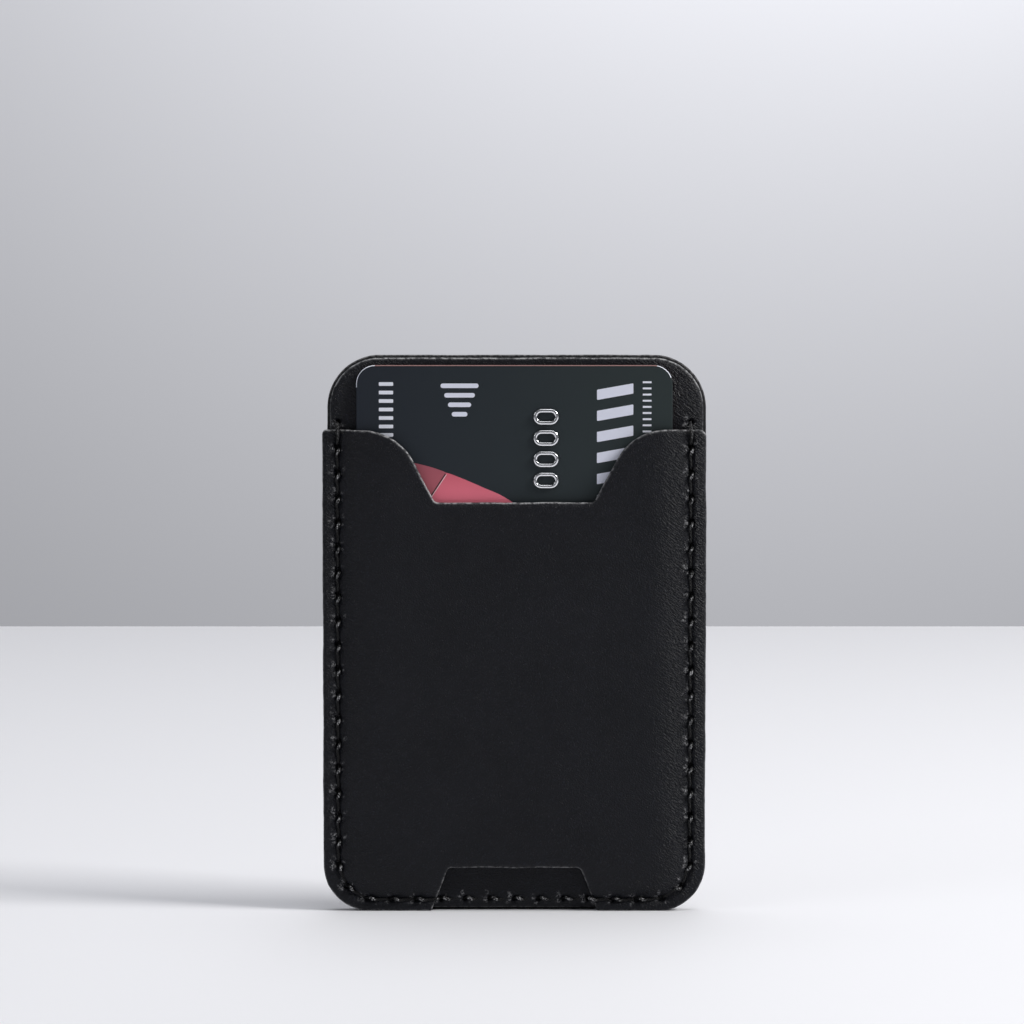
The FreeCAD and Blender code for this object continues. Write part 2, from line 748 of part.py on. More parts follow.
def make_front_overlay():
    """The clear film over the print, with the embossed noughts standing up from it."""
    body = card_body("card_front_overlay")
    film = new_sketch(body, "front_film_outline", CORE_FRONT)
    card_outline(film)
    pad(body, film, "front_film", "Dimensions.overlay_thickness")
    contact = new_sketch(body, "front_film_contact_window", CORE_FRONT)
    contact_outline(contact)
    pocket_through(body, contact, "front_film_contact_cut")
    numerals = new_sketch(body, "embossing_outline", CARD_FRONT)
    numeral_outlines(numerals)
    pad(body, numerals, "embossing", "Dimensions.numeral_height")
    return body


def make_rear_overlay():
    body = card_body("card_rear_overlay")
    film = new_sketch(body, "rear_film_outline", CARD_REAR)
    card_outline(film)
    pad(body, film, "rear_film", "Dimensions.overlay_thickness")
    for name, draw in (("stripe", stripe_outline), ("signature", signature_outline)):
        recess = new_sketch(body, f"rear_film_{name}_seat", CARD_REAR)
        draw(recess)
        pocket_deep(body, recess, f"rear_film_{name}_recess", "Dimensions.inlay_thickness")
    return body


def make_inlay(label, draw):
    """A thin strip let into the card's rear film, flush with its surface."""
    body = card_body(label)
    strip = new_sketch(body, f"{label}_outline", CARD_REAR)
    draw(strip)
    pad(body, strip, f"{label}_strip", "Dimensions.inlay_thickness")
    return body


def make_chip_module():
    """The contact plate, flush with the card's face, and the chip's block behind it."""
    body = card_body("chip_module")
    plate = new_sketch(body, "plate_outline", f"{CARD_FRONT} - Dimensions.contact_thickness")
    contact_outline(plate)
    pad(body, plate, "contact_plate", "Dimensions.contact_thickness")
    block_rear = f"{CARD_FRONT} - Dimensions.contact_thickness - Dimensions.die_thickness"
    block = new_sketch(body, "block_outline", block_rear)
    die_outline(block)
    pad(body, block, "die_block", "Dimensions.die_thickness")
    return body


def make_antenna_coil():
    body = card_body("antenna_coil")
    wire = new_sketch(body, "coil_wire_outline", CORE_REAR)
    coil_outline(wire)
    pad(body, wire, "coil_wire", "Dimensions.coil_wire")
    return body


def make_numeral_foil():
    """The bright foil that is pressed on the tops of the embossed noughts."""
    body = card_body("numeral_foil")
    body.AllowCompound = True
    rings = new_sketch(body, "foil_outline", f"{CARD_FRONT} + Dimensions.numeral_height")
    numeral_outlines(rings)
    pad(body, rings, "foil", "Dimensions.foil_thickness")
    return body


# ---------------------------------------------------------------- build, check and write

subparts = [
    make_adhesive_pad(),
    make_leather_sheet("backing_panel", BACKING_REAR, "Dimensions.backing_thickness", "0"),
    make_leather_sheet(
        "inner_panel", INNER_REAR, "Dimensions.inner_thickness", "Dimensions.inner_inset"
    ),
    make_front_panel(),
    make_strand("seam_thread_a", 1, True),
    make_strand("seam_thread_b", -1, False),
    make_card_core(),
    make_front_overlay(),
    make_rear_overlay(),
    make_inlay("magnetic_stripe", stripe_outline),
    make_inlay("signature_panel", signature_outline),
    make_chip_module(),
    make_antenna_coil(),
    make_numeral_foil(),
]
doc.recompute()

for item in doc.Objects:
    if "Invalid" in item.State or "Error" in item.State:
        raise RuntimeError(f"{item.Label} failed: {item.State}")
for subpart in subparts:
    if subpart.Shape.isNull() or not subpart.Shape.isValid():
        raise RuntimeError(f"{subpart.Label} has no valid shape")

os.makedirs("parts", exist_ok=True)
for subpart in subparts:
    subpart.Shape.exportStep(f"parts/{subpart.Label}.step")
    bounds = subpart.Shape.BoundBox
    print(
        f"{subpart.Label}: {len(subpart.Shape.Solids)} solid(s), {subpart.Shape.Volume:.1f} mm3, "
        f"x {bounds.XMin:.2f}..{bounds.XMax:.2f}, y {bounds.YMin:.2f}..{bounds.YMax:.2f}, "
        f"z {bounds.ZMin:.2f}..{bounds.ZMax:.2f}"
    )
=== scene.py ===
import math

import bpy
import numpy as np
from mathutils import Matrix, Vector
from mathutils.geometry import delaunay_2d_cdt
from mathutils.kdtree import KDTree


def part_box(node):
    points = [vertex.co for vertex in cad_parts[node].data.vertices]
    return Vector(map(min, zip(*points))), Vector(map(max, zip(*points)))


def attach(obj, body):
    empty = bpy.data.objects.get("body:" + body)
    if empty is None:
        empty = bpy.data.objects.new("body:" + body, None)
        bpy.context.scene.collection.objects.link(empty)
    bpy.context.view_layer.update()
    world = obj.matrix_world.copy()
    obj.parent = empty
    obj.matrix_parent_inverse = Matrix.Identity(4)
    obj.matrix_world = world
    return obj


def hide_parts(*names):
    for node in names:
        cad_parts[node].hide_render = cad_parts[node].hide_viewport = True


# Looks of a stick-on leather card wallet and the bank card in it.
#
# Shapes are worked out in millimetres on the wallet's own plane: x to the right, z up and
# "depth" towards the viewer from the face that sticks to the phone. add_piece() turns them
# into metres, with y = -depth.

MM = 0.001
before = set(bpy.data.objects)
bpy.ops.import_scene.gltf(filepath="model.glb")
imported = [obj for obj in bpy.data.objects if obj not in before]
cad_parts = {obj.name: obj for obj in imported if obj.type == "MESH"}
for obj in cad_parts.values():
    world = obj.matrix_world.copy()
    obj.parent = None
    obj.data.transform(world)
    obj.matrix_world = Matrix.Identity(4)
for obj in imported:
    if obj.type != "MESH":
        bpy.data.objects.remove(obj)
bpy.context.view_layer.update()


# ---- sizes from the frame


def node_mm(node):
    """A CAD node's box as (low, high) of x, depth and z, in millimetres."""
    low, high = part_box(node)
    return (
        (low[0] / MM, -high[1] / MM, low[2] / MM),
        (high[0] / MM, -low[1] / MM, high[2] / MM),
    )


TAPE_LOW, TAPE_HIGH = node_mm("adhesive_pad")
BACKING_LOW, BACKING_HIGH = node_mm("backing_panel")
INNER_HIGH = node_mm("inner_panel")[1]
FRONT_TOP = node_mm("front_panel")[1][2]
CARD_LOW, CARD_HIGH = node_mm("card_core")
CARD_REAR = node_mm("card_rear_overlay")[0][1]
FOIL_LOW, FOIL_HIGH = node_mm("numeral_foil")
CHIP_LOW, CHIP_HIGH = node_mm("chip_module")
STRIPE_LOW, STRIPE_HIGH = node_mm("magnetic_stripe")
SIGNATURE_LOW, SIGNATURE_HIGH = node_mm("signature_panel")

HALF_WIDTH = BACKING_HIGH[0]
HALF_HEIGHT = BACKING_HIGH[2]
BACKING_REAR = BACKING_LOW[1]
BACKING_FRONT = BACKING_HIGH[1]
INNER_FRONT = INNER_HIGH[1]
FRONT_LEATHER = 1.1
FLANGE_FRONT = INNER_FRONT + FRONT_LEATHER
FLANGE_PRESSED = FLANGE_FRONT - 0.12
CARD_THICKNESS = 0.76
CARD_FRONT = CARD_REAR + CARD_THICKNESS
CARD_HALF_WIDTH = CARD_HIGH[0]
CARD_CORNER = 3.18

# The line of stitch holes down one side, along the foot and up the other side.
SEAM_X = HALF_WIDTH - 2.55
SEAM_FOOT = HALF_HEIGHT - 1.98
SEAM_CORNER = 6.3
SEAM_TOP = 36.4
SEAM_SPANS = 52

# The corners' radii, and the notch and window by their half widths and heights.
FOOT_CORNER = 8.0
TOP_CORNER = 9.0
INNER_TRIM = 0.45
NOTCH_FLOOR = 22.7
NOTCH_FLOOR_HALF = 13.59
NOTCH_TOP_HALF = 20.13
NOTCH_MOUTH_RADIUS = 9.74
WINDOW_TOP = 40.1
WINDOW_TOP_HALF = 11.35
WINDOW_FOOT_HALF = 14.25


# ---- numbers and noise


def smooth(t):
    """0 to 1 with level ends."""
    t = np.clip(t, 0.0, 1.0)
    return t * t * (3 - 2 * t)


def hashed(i, j, seed):
    """A fixed number from 0 to 1 for each lattice point."""
    n = np.sin(i * 127.1 + j * 311.7 + seed * 74.7) * 43758.5453
    return n - np.floor(n)


def noise(x, z, cell, seed):
    """Smooth value noise from -1 to 1 with features about one cell wide."""
    x = np.asarray(x) / cell
    z = np.asarray(z) / cell
    i, j = np.floor(x), np.floor(z)
    u, v = smooth(x - i), smooth(z - j)
    low = hashed(i, j, seed) * (1 - u) + hashed(i + 1, j, seed) * u
    high = hashed(i, j + 1, seed) * (1 - u) + hashed(i + 1, j + 1, seed) * u
    return (low * (1 - v) + high * v) * 2 - 1


# ---- outlines


def round_polygon(corners, step):
    """A closed outline through (x, z, radius) corners, as evenly stepped points.

    Each corner is turned on an arc of its radius, and no two points are much more than a
    step apart.
    """
    points = []
    count = len(corners)
    for k in range(count):
        x, z, radius = corners[k]
        here = np.array((x, z))
        before = np.array(corners[k - 1][:2])
        after = np.array(corners[(k + 1) % count][:2])
        back = (before - here) / np.linalg.norm(before - here)
        ahead = (after - here) / np.linalg.norm(after - here)
        half = math.acos(np.clip(back @ ahead, -1, 1)) / 2
        setback = radius / math.tan(half)
        middle = here + (back + ahead) / np.linalg.norm(back + ahead) * radius / math.sin(half)
        start = here + back * setback - middle
        end = here + ahead * setback - middle
        first = math.atan2(start[1], start[0])
        turn = math.atan2(start[0] * end[1] - start[1] * end[0], start @ end)
        bits = max(2, math.ceil(abs(turn) * radius / step))
        for n in range(bits + 1):
            angle = first + turn * n / bits
            points.append(middle + radius * np.array((math.cos(angle), math.sin(angle))))
    filled = []
    for here, there in zip(points, points[1:] + points[:1]):
        bits = max(1, math.ceil(np.linalg.norm(there - here) / step))
        filled += [here + (there - here) * n / bits for n in range(bits)]
    return np.array(filled)


def rectangle(half_width, foot, top, foot_radius, top_radius, step=0.35):
    corners = [
        (-half_width, foot, foot_radius),
        (half_width, foot, foot_radius),
        (half_width, top, top_radius),
        (-half_width, top, top_radius),
    ]
    return round_polygon(corners, step)


def front_outline():
    """The front panel: rounded feet, a window in the bottom edge and a thumb notch on top."""
    corners = [
        (-HALF_WIDTH, FRONT_TOP, 0.7),
        (-HALF_WIDTH, -HALF_HEIGHT, FOOT_CORNER),
        (-WINDOW_FOOT_HALF, -HALF_HEIGHT, 0.3),
        (-WINDOW_TOP_HALF, -WINDOW_TOP, 1.0),
        (WINDOW_TOP_HALF, -WINDOW_TOP, 1.0),
        (WINDOW_FOOT_HALF, -HALF_HEIGHT, 0.3),
        (HALF_WIDTH, -HALF_HEIGHT, FOOT_CORNER),
        (HALF_WIDTH, FRONT_TOP, 1.2),
        (NOTCH_TOP_HALF, FRONT_TOP, NOTCH_MOUTH_RADIUS),
        (NOTCH_FLOOR_HALF, NOTCH_FLOOR, 1.0),
        (-NOTCH_FLOOR_HALF, NOTCH_FLOOR, 1.0),
        (-NOTCH_TOP_HALF, FRONT_TOP, NOTCH_MOUTH_RADIUS),
    ]
    return hand_cut(round_polygon(corners, 0.3), 0.07, 11)


def outward(outline):
    """Unit normals that point out of a counter-clockwise outline."""
    along = np.roll(outline, -1, axis=0) - np.roll(outline, 1, axis=0)
    along /= np.linalg.norm(along, axis=1)[:, None]
    return np.stack([along[:, 1], -along[:, 0]], axis=1)


def hand_cut(outline, amount, seed):
    """The slight waver of a knife cut."""
    x, z = outline.T
    waver = noise(x, z, 5.0, seed) + 0.5 * noise(x, z, 1.6, seed + 1)
    waver += 0.2 * noise(x, z, 0.6, seed + 2)
    return outline + outward(outline) * (waver * amount)[:, None]


def edge_gap(points, outline):
    """How far each point is from an evenly stepped outline."""
    tree = KDTree(len(outline))
    for n, (x, z) in enumerate(outline.tolist()):
        tree.insert((x, z, 0), n)
    tree.balance()
    nearest = np.array([tree.find((x, z, 0))[1] for x, z in points.tolist()])
    gap = np.full(len(points), np.inf)
    for step in (-1, 1):
        start = outline[nearest]
        side = outline[(nearest + step) % len(outline)] - start
        share = ((points - start) * side).sum(axis=1) / (side**2).sum(axis=1)
        foot = start + side * np.clip(share, 0, 1)[:, None]
        gap = np.minimum(gap, np.hypot(*(points - foot).T))
    return gap


def inside(points, outline):
    """Which points lie inside an outline."""
    x0, z0 = outline.T
    x1, z1 = np.roll(outline, -1, axis=0).T
    within = np.zeros(len(points), bool)
    for first in range(0, len(points), 4000):
        x = points[first : first + 4000, 0][:, None]
        z = points[first : first + 4000, 1][:, None]
        crosses = (z0 > z) != (z1 > z)
        at = x0 + (z - z0) * (x1 - x0) / np.where(z1 == z0, 1.0, z1 - z0)
        within[first : first + 4000] = (crosses & (x < at)).sum(axis=1) % 2 == 1
    return within


def hex_grid(low, high, step):
    rows = np.arange(low[1], high[1], step * math.sqrt(0.75))
    columns = np.arange(low[0], high[0], step)
    x, z = np.meshgrid(columns, rows)
    x = x + (np.arange(len(rows)) % 2)[:, None] * step / 2
    return np.stack([x.ravel(), z.ravel()], axis=1)


# ---- the seam


def seam_point(distance):
    """x, z and heading in degrees on the seam, at a distance from its left-hand top end."""
    upright = SEAM_TOP + SEAM_FOOT - SEAM_CORNER
    bend = SEAM_CORNER * math.pi / 2
    level = 2 * (SEAM_X - SEAM_CORNER)
    if distance > upright + bend + level / 2:
        x, z, heading = seam_point(2 * (upright + bend) + level - distance)
        return -x, z, -heading
    if distance <= upright:
        return -SEAM_X, SEAM_TOP - distance, -90.0
    if distance <= upright + bend:
        turned = (distance - upright) / SEAM_CORNER
        x = -SEAM_X + SEAM_CORNER * (1 - math.cos(turned))
        z = -SEAM_FOOT + SEAM_CORNER * (1 - math.sin(turned))
        return x, z, math.degrees(turned) - 90
    return -SEAM_X + SEAM_CORNER + distance - upright - bend, -SEAM_FOOT, 0.0


SEAM_LENGTH = 2 * (SEAM_TOP + SEAM_FOOT - SEAM_CORNER) + math.pi * SEAM_CORNER
SEAM_LENGTH += 2 * (SEAM_X - SEAM_CORNER)
HOLES = np.array([seam_point(SEAM_LENGTH * k / SEAM_SPANS) for k in range(SEAM_SPANS + 1)])
HOLE_RADIUS = 0.43
PUCKER_TURNS = (2.2, 2.8, 3.35, 3.9, 5.6, 0.5)


def over_front(x, z):
    """Whether the front panel covers a place on the seam."""
    return (z < FRONT_TOP) & ~((z < -WINDOW_TOP) & (np.abs(x) < WINDOW_FOOT_HALF - 1.0))


FRONT_HOLES = HOLES[over_front(HOLES[:, 0], HOLES[:, 1])]


def seam_inset(x, z):
    """How far a place lies inside the line of the seam, which is open at the top."""
    across = np.abs(x) - (SEAM_X - SEAM_CORNER)
    down = -z - (SEAM_FOOT - SEAM_CORNER)
    outside = np.hypot(np.maximum(across, 0), np.maximum(down, 0))
    return SEAM_CORNER - outside - np.minimum(np.maximum(across, down), 0)


def hole_marks(x, z, holes, seed):
    """How deep the leather is drawn in round its stitch holes, and how it puckers there."""
    sunk = np.zeros_like(x)
    pucker = np.zeros_like(x)
    for n, (hx, hz, heading) in enumerate(holes):
        near = (np.abs(x - hx) < 4.0) & (np.abs(z - hz) < 4.0)
        dx, dz = x[near] - hx, z[near] - hz
        far = np.hypot(dx, dz)
        turn = np.arctan2(dz, dx)
        # A wide dimple, and the hole itself.
        sunk[near] += 0.20 * np.exp(-((far / 1.05) ** 2))
        sunk[near] += 0.9 * np.exp(-((far / HOLE_RADIUS) ** 4))
        for ray in range(6):
            lean = PUCKER_TURNS[ray] + 0.5 * (hashed(n, ray, seed) - 0.5)
            reach = 0.75 + 0.5 * hashed(n, ray, seed + 9)
            height = (0.08 + 0.18 * hashed(n, ray, seed + 5)) * (1.0 if ray < 4 else 0.5)
            off = (turn - lean + math.pi) % (2 * math.pi) - math.pi
            ring = np.exp(-(((far - reach) / 0.42) ** 2))
            pucker[near] += height * ring * np.exp(-((off * far / 0.17) ** 2))
    return sunk, pucker


# ---- meshes


def add_piece(name, points, faces, materials, face_slots=None, attributes=None, flat=False):
    """A mesh object from points of x, depth, z in millimetres."""
    points = np.asarray(points, float)
    placed = np.stack([points[:, 0], -points[:, 1], points[:, 2]], axis=1) * MM
    mesh = bpy.data.meshes.new(name)
    mesh.from_pydata(placed.tolist(), [], [tuple(int(v) for v in f) for f in faces])
    for material in materials:
        mesh.materials.append(material)
    if face_slots is not None:
        mesh.polygons.foreach_set("material_index", np.asarray(face_slots, np.int32))
    for label, values in (attributes or {}).items():
        field = mesh.attributes.new(label, "FLOAT", "POINT")
        field.data.foreach_set("value", np.asarray(values, np.float32))
    if not flat:
        mesh.polygons.foreach_set("use_smooth", [True] * len(mesh.polygons))
    mesh.validate()
    mesh.update()
    piece = bpy.data.objects.new(name, mesh)
    bpy.context.collection.objects.link(piece)
    return piece


def finish_piece(piece, body, slot, *nodes):
    """Puts a piece on its body and hides the CAD nodes that it stands in for."""
    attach(piece, body)
    if nodes:
        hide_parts(*nodes)


def loop_faces(lower, upper, count):
    """Faces that join two loops of points, given where in the list each loop starts."""
    faces = []
    for n in range(count):
        m = (n + 1) % count
        faces.append((lower + n, lower + m, upper + m, upper + n))
    return faces


RIM_TURNS = (22.5, 45.0, 67.5, 90.0)
# Circles of points round a stitch hole, as radius and number of points.
HOLE_CIRCLES = ((0.0, 1), (0.16, 6), (0.3, 10), (0.4, 12), (0.52, 14), (0.72, 16))
HOLE_CIRCLES += ((1.0, 18), (1.35, 20), (1.8, 22))


def sheet_points(outline, rim, step, band=None, holes=()):
    """The outline's points and then the points inside it that its surface needs.

    Rings follow the rounded rim, circles stand round each stitch hole, and an even grid
    fills the rest, finer where band(x, z) says so.
    """
    normal = outward(outline)
    rings = []
    for turn in RIM_TURNS:
        inset = rim * (1 - math.cos(math.radians(turn)))
        ring = outline - normal * inset
        rings.append(ring[edge_gap(ring, outline) > inset * 0.98])
    free = []
    for hx, hz, heading in holes:
        for radius, count in HOLE_CIRCLES:
            turns = np.arange(count) * 2 * math.pi / count + radius
            circle = np.stack([np.cos(turns), np.sin(turns)], axis=1)
            free.append((hx, hz) + radius * circle)
    low, high = outline.min(axis=0), outline.max(axis=0)
    grid = hex_grid(low, high, step)
    if band is not None:
        fine = hex_grid(low, high, step * 0.45)
        fine = fine[band(fine[:, 0], fine[:, 1])]
        grid = grid[~band(grid[:, 0], grid[:, 1])]
        grid = np.concatenate([grid, fine])
    for hx, hz, heading in holes:
        grid = grid[np.hypot(grid[:, 0] - hx, grid[:, 1] - hz) > 1.95]
    free = np.concatenate([*free, grid]) if free else grid
    free = free[inside(free, outline)]
    free = free[edge_gap(free, outline) > rim + 0.12]
    return np.concatenate([outline, *rings, free])


def triangulate(points, count):
    """Triangles that fill the outline made by the first points."""
    coords = [Vector(p) for p in points.tolist()]
    made, edges, faces, origins, *rest = delaunay_2d_cdt(coords, [], [list(range(count))], 1, 1e-6)
    place = np.array([o[0] if o else -1 for o in origins])
    if (place < 0).any():
        raise ValueError("an outline crosses itself")
    return [tuple(int(place[v]) for v in face) for face in faces]


def level_at(depth):
    """A flat surface, or an attribute that is the same everywhere."""
    return lambda x, z: np.full_like(x, depth)


def leather_sheet(
    name,
    outline,
    front,
    rear,
    rim,
    material,
    step,
    coarse=None,
    band=None,
    holes=(),
    fold=level_at(0.0),
    lit=level_at(0.0),
):
    """A closed sheet between two surfaces, with a rounded rim.

    front and rear take x and z and give depths. Points are a step apart, closer where
    band says so, and on the rear a coarse step. The sheet carries three attributes: rim
    is up to 1 on the cut edge, as lit says, and fades within half a millimetre; it marks the
    pale cut edge, partly the edge's own colour and partly a painted highlight where the edge
    faces the light. fold is how wrinkled the leather is. The third marks a painted highlight
    on the puckers round the holes.
    """
    count = len(outline)
    front_flat = sheet_points(outline, rim, step, band, holes)
    rear_flat = sheet_points(outline, rim, coarse or step, None, holes if not coarse else ())
    front_faces = triangulate(front_flat, count)
    rear_faces = triangulate(rear_flat, count)
    sides = []
    for flat, surface, sign in ((front_flat, front, -1), (rear_flat, rear, 1)):
        gap = edge_gap(flat, outline)
        gap[:count] = 0
        drop = rim - np.sqrt(np.maximum(rim**2 - np.maximum(rim - gap, 0) ** 2, 0))
        depth = surface(flat[:, 0], flat[:, 1]) + sign * drop
        sides.append((np.stack([flat[:, 0], depth, flat[:, 1]], axis=1), gap))
    (front_points, front_gap), (rear_points, rear_gap) = sides
    # The wall between the two rims is bowed out a little.
    rows = 3
    wall = []
    normal = outward(outline)
    for row in range(1, rows):
        share = row / rows
        bow = 0.06 * math.sin(math.pi * share)
        middle = front_points[:count] * (1 - share) + rear_points[:count] * share
        middle[:, 0] += normal[:, 0] * bow
        middle[:, 2] += normal[:, 1] * bow
        wall.append(middle)
    points = np.concatenate([front_points, rear_points, *wall])
    base = len(front_points)
    levels = [0, *[base + len(rear_points) + k * count for k in range(rows - 1)], base]
    faces = front_faces + [tuple(base + v for v in reversed(face)) for face in rear_faces]
    for upper, lower in zip(levels, levels[1:]):
        faces += loop_faces(lower, upper, count)
    gap = np.concatenate([front_gap, rear_gap, np.zeros(count * (rows - 1))])
    x, z = points[:, 0], points[:, 2]
    # Painted highlight on the pale cut edge: as lit says, edges that face the light are painted paler, and
    # the rim on the rear face gets less.
    cut = np.exp(-((gap / 0.16) ** 2)) * lit(x, z)
    cut[base:] *= 0.4
    sunk, pucker = hole_marks(x, z, holes, 1)
    folded = fold(x, z) * (1 - 0.8 * np.exp(-((gap / 0.35) ** 2)))
    # The pucker ridges round the holes get a painted highlight.
    attributes = {"rim": cut, "fold": folded, "pucker_highlight": smooth((pucker - 0.03) / 0.1)}
    return add_piece(name, points, faces, [material], attributes=attributes)


# ---- materials


class Nodes:
    """A material's node tree, with its Principled shader and a few short ways to add nodes."""

    def __init__(self, name, color, roughness, **shader):
        self.material = bpy.data.materials.new(name)
        self.material.use_nodes = True
        self.tree = self.material.node_tree
        self.shader = self.tree.nodes["Principled BSDF"]
        self.shader.inputs["Base Color"].default_value = (*color, 1)
        self.shader.inputs["Roughness"].default_value = roughness
        for key, amount in shader.items():
            self.shader.inputs[key.replace("_", " ")].default_value = amount
        self.coords = self.add("ShaderNodeTexCoord").outputs["Object"]

    def add(self, kind, **settings):
        node = self.tree.nodes.new(kind)
        for key, setting in settings.items():
            setattr(node, key, setting)
        return node

    def link(self, source, target):
        self.tree.links.new(source, target)

    def mapped(self, scale, rotation=(0, 0, 0)):
        """Object coordinates, turned and scaled."""
        turned = self.add("ShaderNodeMapping")
        turned.inputs["Rotation"].default_value = rotation
        stretched = self.add("ShaderNodeMapping")
        stretched.inputs["Scale"].default_value = scale
        self.link(self.coords, turned.inputs["Vector"])
        self.link(turned.outputs[0], stretched.inputs["Vector"])
        return stretched.outputs[0]

    def noise(self, size_mm, detail=3.0, rough=0.55, vector=None):
        node = self.add("ShaderNodeTexNoise")
        node.inputs["Scale"].default_value = 1 / (size_mm * MM)
        node.inputs["Detail"].default_value = detail
        node.inputs["Roughness"].default_value = rough
        self.link(vector or self.coords, node.inputs["Vector"])
        return node.outputs[0]

    def cells(self, size_mm, feature="DISTANCE_TO_EDGE"):
        node = self.add("ShaderNodeTexVoronoi", feature=feature)
        node.inputs["Scale"].default_value = 1 / (size_mm * MM)
        self.link(self.coords, node.inputs["Vector"])
        return node.outputs[0]

    def ramp(self, source, low, high, start=0.0, end=1.0):
        """A number spread from one value to another."""
        node = self.add("ShaderNodeMapRange")
        node.inputs["From Min"].default_value = start
        node.inputs["From Max"].default_value = end
        node.inputs["To Min"].default_value = low
        node.inputs["To Max"].default_value = high
        self.link(source, node.inputs["Value"])
        return node.outputs[0]

    def product(self, first, second):
        node = self.add("ShaderNodeMath", operation="MULTIPLY")
        self.link(first, node.inputs[0])
        self.link(second, node.inputs[1])
        return node.outputs[0]

    def mix(self, factor, first, second):
        """A colour between two, each a colour or a socket."""
        node = self.add("ShaderNodeMix", data_type="RGBA")
        self.link(factor, node.inputs["Factor"])
        for socket, given in ((node.inputs[6], first), (node.inputs[7], second)):
            if isinstance(given, tuple):
                socket.default_value = (*given, 1)
            else:
                self.link(given, socket)
        return node.outputs[2]

    def attribute(self, name):
        return self.add("ShaderNodeAttribute", attribute_name=name).outputs["Fac"]

    def bump(self, height, distance_mm, strength=1.0, under=None):
        node = self.add("ShaderNodeBump")
        node.inputs["Distance"].default_value = distance_mm * MM
        node.inputs["Strength"].default_value = strength
        self.link(height, node.inputs["Height"])
        if under is not None:
            self.link(under, node.inputs["Normal"])
        return node.outputs[0]

    def set(self, **sockets):
        for key, source in sockets.items():
            self.link(source, self.shader.inputs[key.replace("_", " ")])
        return self.material


STREAK_TURN = math.radians(-34)


def leather_material(name, dark, light, edge, roughness):
    """Fine-grained black leather with pebbles and slanting creases. Its cut edges are painted paler, partly
    their own colour and partly a painted highlight, and the puckers by the holes get a painted highlight.
    """
    m = Nodes(name, dark, roughness, Specular_IOR_Level=0.22)
    tone = m.mix(m.ramp(m.noise(9.0, 4.0), 0, 1, 0.3, 0.7), dark, light)
    fleck = m.ramp(m.noise(0.26, 2.0), 0, 0.5, 0.56, 0.72)
    tone = m.mix(fleck, tone, tuple(4.0 * c for c in light))
    # Pale cut edge: partly its own colour, partly a painted highlight.
    pale_edge_and_highlight = m.product(m.attribute("rim"), m.ramp(m.noise(0.7, 3.0), 0.14, 1, 0.42, 0.58))
    tone = m.mix(pale_edge_and_highlight, tone, edge)
    # Painted highlight on the pucker ridges round the stitch holes.
    pucker_highlight_mask = m.product(m.attribute("pucker_highlight"), m.ramp(m.noise(0.3, 2.0), 0, 0.8, 0.45, 0.6))
    m.set(Base_Color=m.mix(pucker_highlight_mask, tone, (0.30, 0.30, 0.31)))
    m.set(Roughness=m.ramp(m.noise(0.5, 3.0), roughness - 0.14, roughness + 0.1, 0.3, 0.7))
    fold = m.attribute("fold")
    streaks = m.mapped((0.45, 1, 1.25), (0, STREAK_TURN, 0))
    creases = m.product(m.noise(0.34, 2.0, 0.5, streaks), fold)
    cross = m.product(m.noise(0.5, 2.0, 0.5), fold)
    grain = m.bump(m.cells(0.38), 0.11, 0.9)
    grain = m.bump(m.noise(0.26, 2.0), 0.17, 0.9, grain)
    grain = m.bump(creases, 0.36, 1.0, grain)
    grain = m.bump(cross, 0.12, 0.7, grain)
    return m.set(Normal=grain)


def thread_material():
    """Waxed black thread, with painted glints: pale specks where each stitch stands up."""
    m = Nodes("thread_black", (0.004, 0.004, 0.0045), 0.45, Specular_IOR_Level=0.3)
    tone = m.mix(m.noise(0.4), (0.003, 0.003, 0.0035), (0.008, 0.008, 0.009))
    # Painted glint: pale specks on each stitch's crest.
    glint_mask = m.product(m.attribute("highlight_share"), m.ramp(m.noise(0.24, 2.0), 0, 1, 0.48, 0.58))
    m.set(Base_Color=m.mix(glint_mask, tone, (0.38, 0.38, 0.39)))
    m.set(Roughness=m.ramp(m.noise(0.2), 0.36, 0.55))
    return m.set(Normal=m.bump(m.noise(0.07, 2.0), 0.03, 0.7))


def plastic_material(name, color, roughness, grain_mm=0.5, grain_depth=0.01):
    """Printed or moulded plastic with a slight orange peel and uneven gloss."""
    m = Nodes(name, color, roughness)
    varied = m.mix(m.noise(6.0), tuple(0.93 * c for c in color), tuple(1.07 * c for c in color))
    m.set(Base_Color=varied, Roughness=m.ramp(m.noise(2.0), roughness - 0.06, roughness + 0.08))
    return m.set(Normal=m.bump(m.noise(grain_mm), grain_depth, 0.5))


def card_face_material(left, right):
    """The card's dark print, a little lighter towards one side."""
    m = Nodes("card_slate", left, 0.42, Specular_IOR_Level=0.15)
    across = m.add("ShaderNodeSeparateXYZ")
    m.link(m.coords, across.inputs[0])
    spread = m.mix(m.ramp(across.outputs[0], 0, 1, -0.027, 0.027), left, right)
    m.set(Base_Color=spread, Roughness=m.ramp(m.noise(2.0), 0.36, 0.5))
    return m.set(Normal=m.bump(m.noise(0.4), 0.01, 0.4))


def ink_wash_material(name, top, foot, high, low):
    """Ink that changes tone from its top down."""
    m = Nodes(name, top, 0.42, Specular_IOR_Level=0.3)
    across = m.add("ShaderNodeSeparateXYZ")
    m.link(m.coords, across.inputs[0])
    m.set(Base_Color=m.mix(m.ramp(across.outputs[2], 0, 1, high * MM, low * MM), top, foot))
    m.set(Roughness=m.ramp(m.noise(1.5), 0.36, 0.5))
    return m.set(Normal=m.bump(m.noise(0.4), 0.01, 0.4))


def metal_material(name, color, roughness):
    """Bare metal, brushed upright."""
    m = Nodes(name, color, roughness, Metallic=1.0)
    brushed = m.mapped((1, 1, 9))
    m.set(Roughness=m.ramp(m.noise(0.6, 3.0, 0.6, brushed), roughness - 0.08, roughness + 0.12))
    return m.set(Normal=m.bump(m.noise(0.25), 0.01, 0.4))


